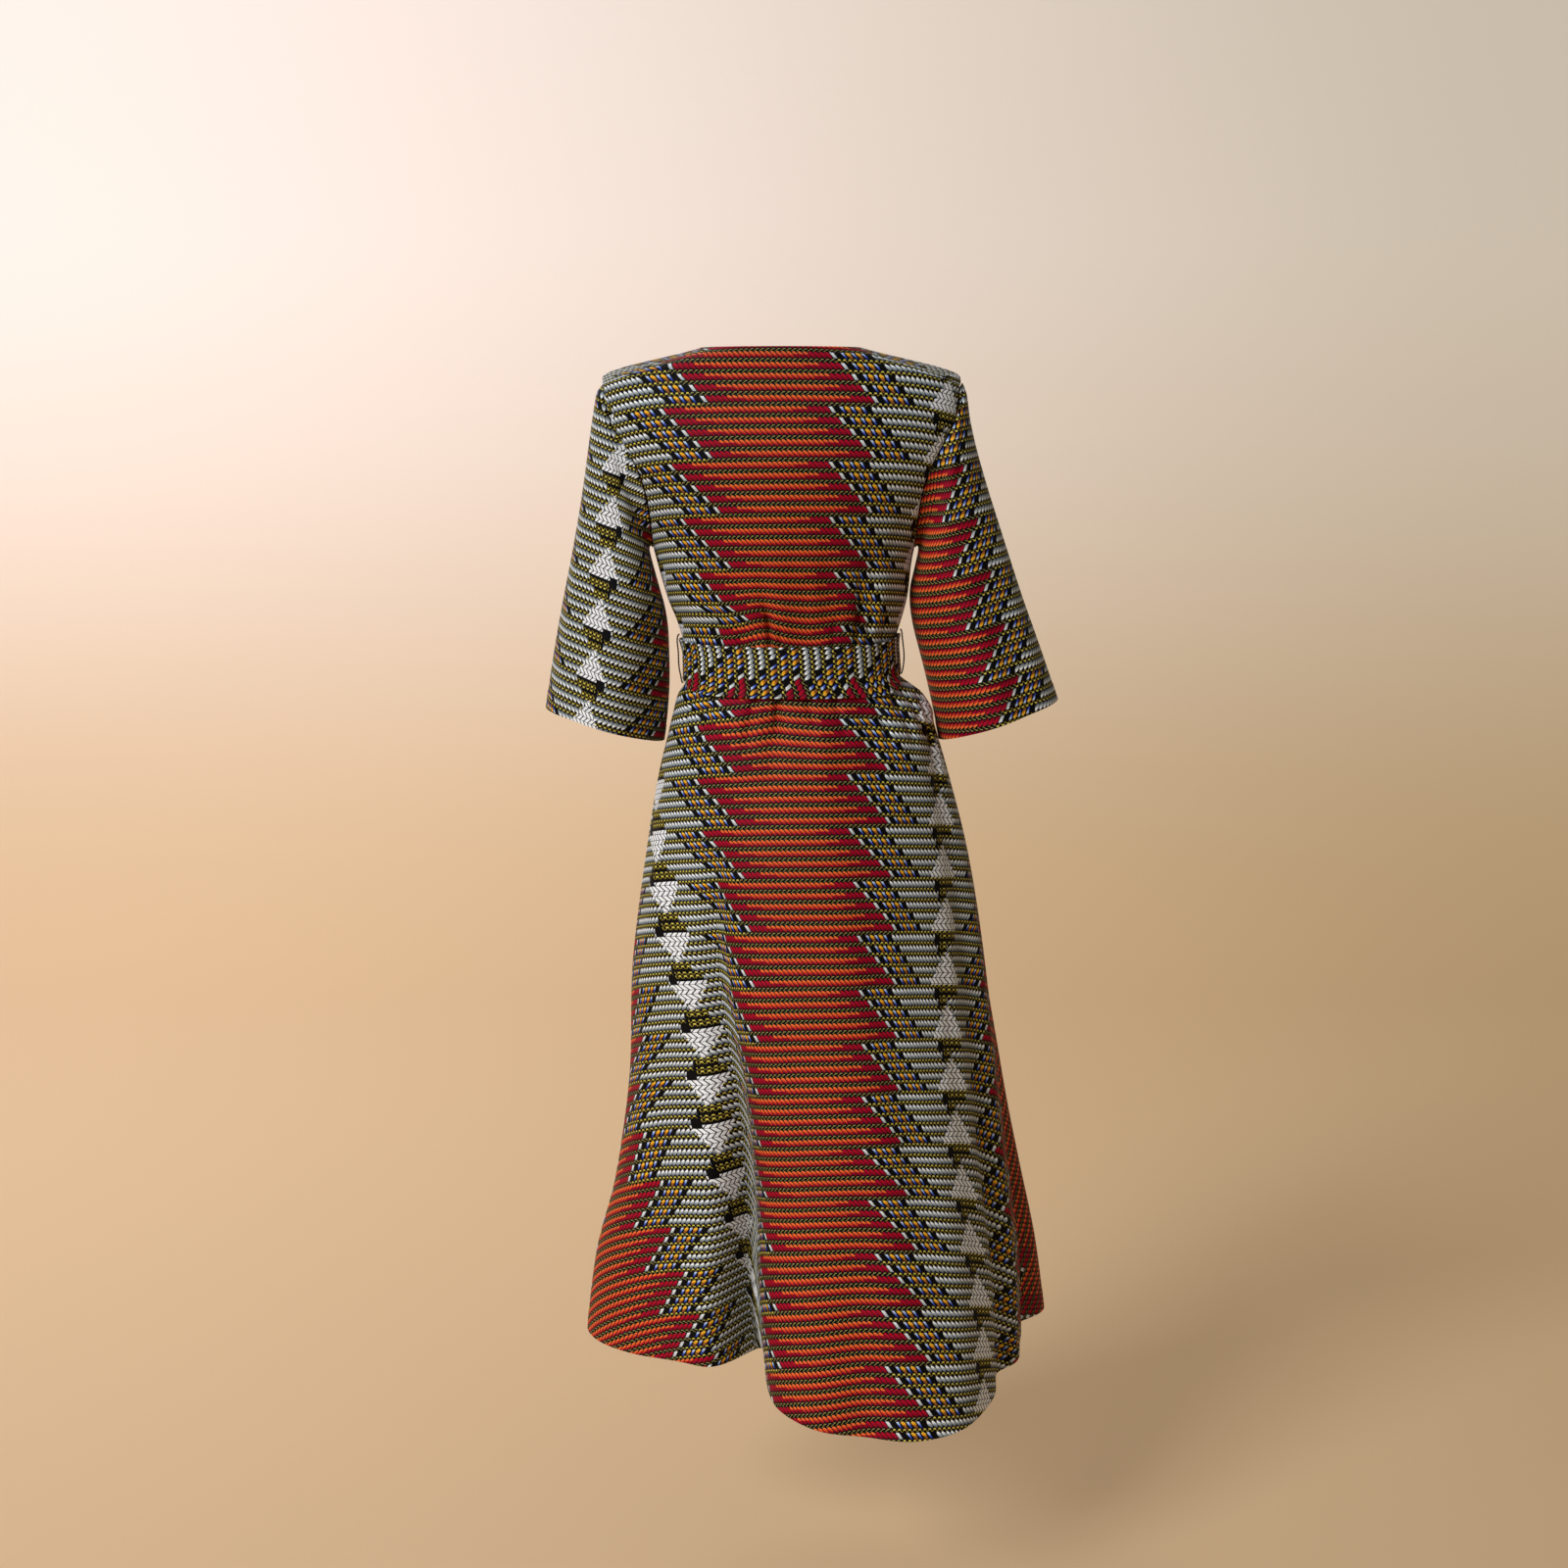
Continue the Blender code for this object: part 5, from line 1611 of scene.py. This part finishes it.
def sew(name, lines):
    """Lay stitches along lines, each given as points on the cloth with the ways out of it."""
    mesh = bmesh.new()
    layer = mesh.loops.layers.uv.new("cloth")
    count = 0
    for points, outs in lines:
        points, outs = np.asarray(points), np.asarray(outs)
        walked = np.concatenate([[0.0], np.cumsum(length_of(np.diff(points, axis=0)))])
        for place in np.arange(STITCH_PITCH, walked[-1] - STITCH_PITCH, STITCH_PITCH):
            ends = [np.array([np.interp(place + half, walked, points[:, i]) for i in range(3)])
                    for half in (-0.5 * STITCH, 0.5 * STITCH)]
            out = np.array([np.interp(place, walked, outs[:, i]) for i in range(3)])
            along = Vector(ends[1] - ends[0]).normalized()
            out = Vector(out)
            out = (out - along * out.dot(along)).normalized()
            side = out.cross(along)
            centre = Vector(0.5 * (ends[0] + ends[1])) + out * STITCH_STAND
            turned = Matrix((along * 0.5 * STITCH, side * STITCH_WIDE, out * STITCH_HIGH)).transposed()
            place_here = Matrix.Translation(centre) @ turned.to_4x4()
            bmesh.ops.create_icosphere(mesh, subdivisions=1, radius=1.0, matrix=place_here)
            count += 1
    for face in mesh.faces:
        for loop in face.loops:
            loop[layer].uv = (loop.vert.co.x + loop.vert.co.y, loop.vert.co.z)
    data = bpy.data.meshes.new(name)
    mesh.to_mesh(data)
    mesh.free()
    piece = finish_piece(name, data, dark_thread)
    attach(piece, "root")
    print(name, count, "stitches")
    return piece


def lines_on(points_at, across, down, step=0.002):
    """A line of points on a piece, with the ways out of it."""
    here = points_at(across, down)
    wide = points_at(np.clip(across + step, 0, 1), down) - points_at(np.clip(across - step, 0, 1), down)
    high = points_at(across, np.clip(down - step, 0, 1)) - points_at(across, np.clip(down + step, 0, 1))
    return here, unit(np.cross(wide, high))


print("a stitch is", STITCH * 1000, "mm long")

# %% [markdown]
# The rows follow the turned edges at a steady distance. They run round the hem, the neck, the
# front edges and the cuffs, and along both edges of the belt.

# %% Stitches of the hems, the neck, the front edges, the cuffs and the belt
HEM_SEWN = 0.018
SKIRT_RUN = 0.85
HEM_DOWN = 1.0 - HEM_SEWN / SKIRT_RUN
NECK_DOWN = 0.0118
EDGE_FOLD = 0.0125
CUFF_DOWN = 0.954
BELT_SEWN = (0.05, 0.95)


def level_line(points_at, down, start=0.004, end=0.996, count=900, step=0.002):
    across = np.linspace(start, end, count)
    return lines_on(points_at, across, np.full_like(across, down), step)


def neck_line():
    across = np.linspace(0.0, 1.0, 3001)
    reach = np.abs(SHOULDER_HALF * np.sin(np.radians(spline(COLUMNS, "share", "angle", across))))
    across = across[reach < NECK_HALF - 0.003]
    return lines_on(back_points, across, np.full_like(across, NECK_DOWN))


def edge_line(points_at):
    """A line that keeps its distance from a front's free edge."""
    down = np.linspace(0.03, 0.975, 900)
    width = length_of(points_at(np.full_like(down, 0.1), down) - points_at(0.0 * down, down)) / 0.1
    return lines_on(points_at, EDGE_FOLD / width, down)


columns = SLEEVE_CELLS[0]
back_stitches = sew("hem_stitches_back", [level_line(back_points, HEM_DOWN), neck_line()])
for side, points_at, sleeve_points in (("left", front_left_points, sleeve_left_points),
                                       ("right", front_right_points, sleeve_right_points)):
    front_lines = [level_line(points_at, HEM_DOWN, 0.05), edge_line(points_at)]
    sew("hem_stitches_front_" + side, front_lines)
    cuff = level_line(sleeve_points, CUFF_DOWN, 0.0, 1.0, columns + 1, 1.0 / columns)
    sew("cuff_stitches_" + side, [cuff])
belt_stitches = sew("belt_stitches", [level_line(belt_points, down, 0.0, 1.0) for down in BELT_SEWN])
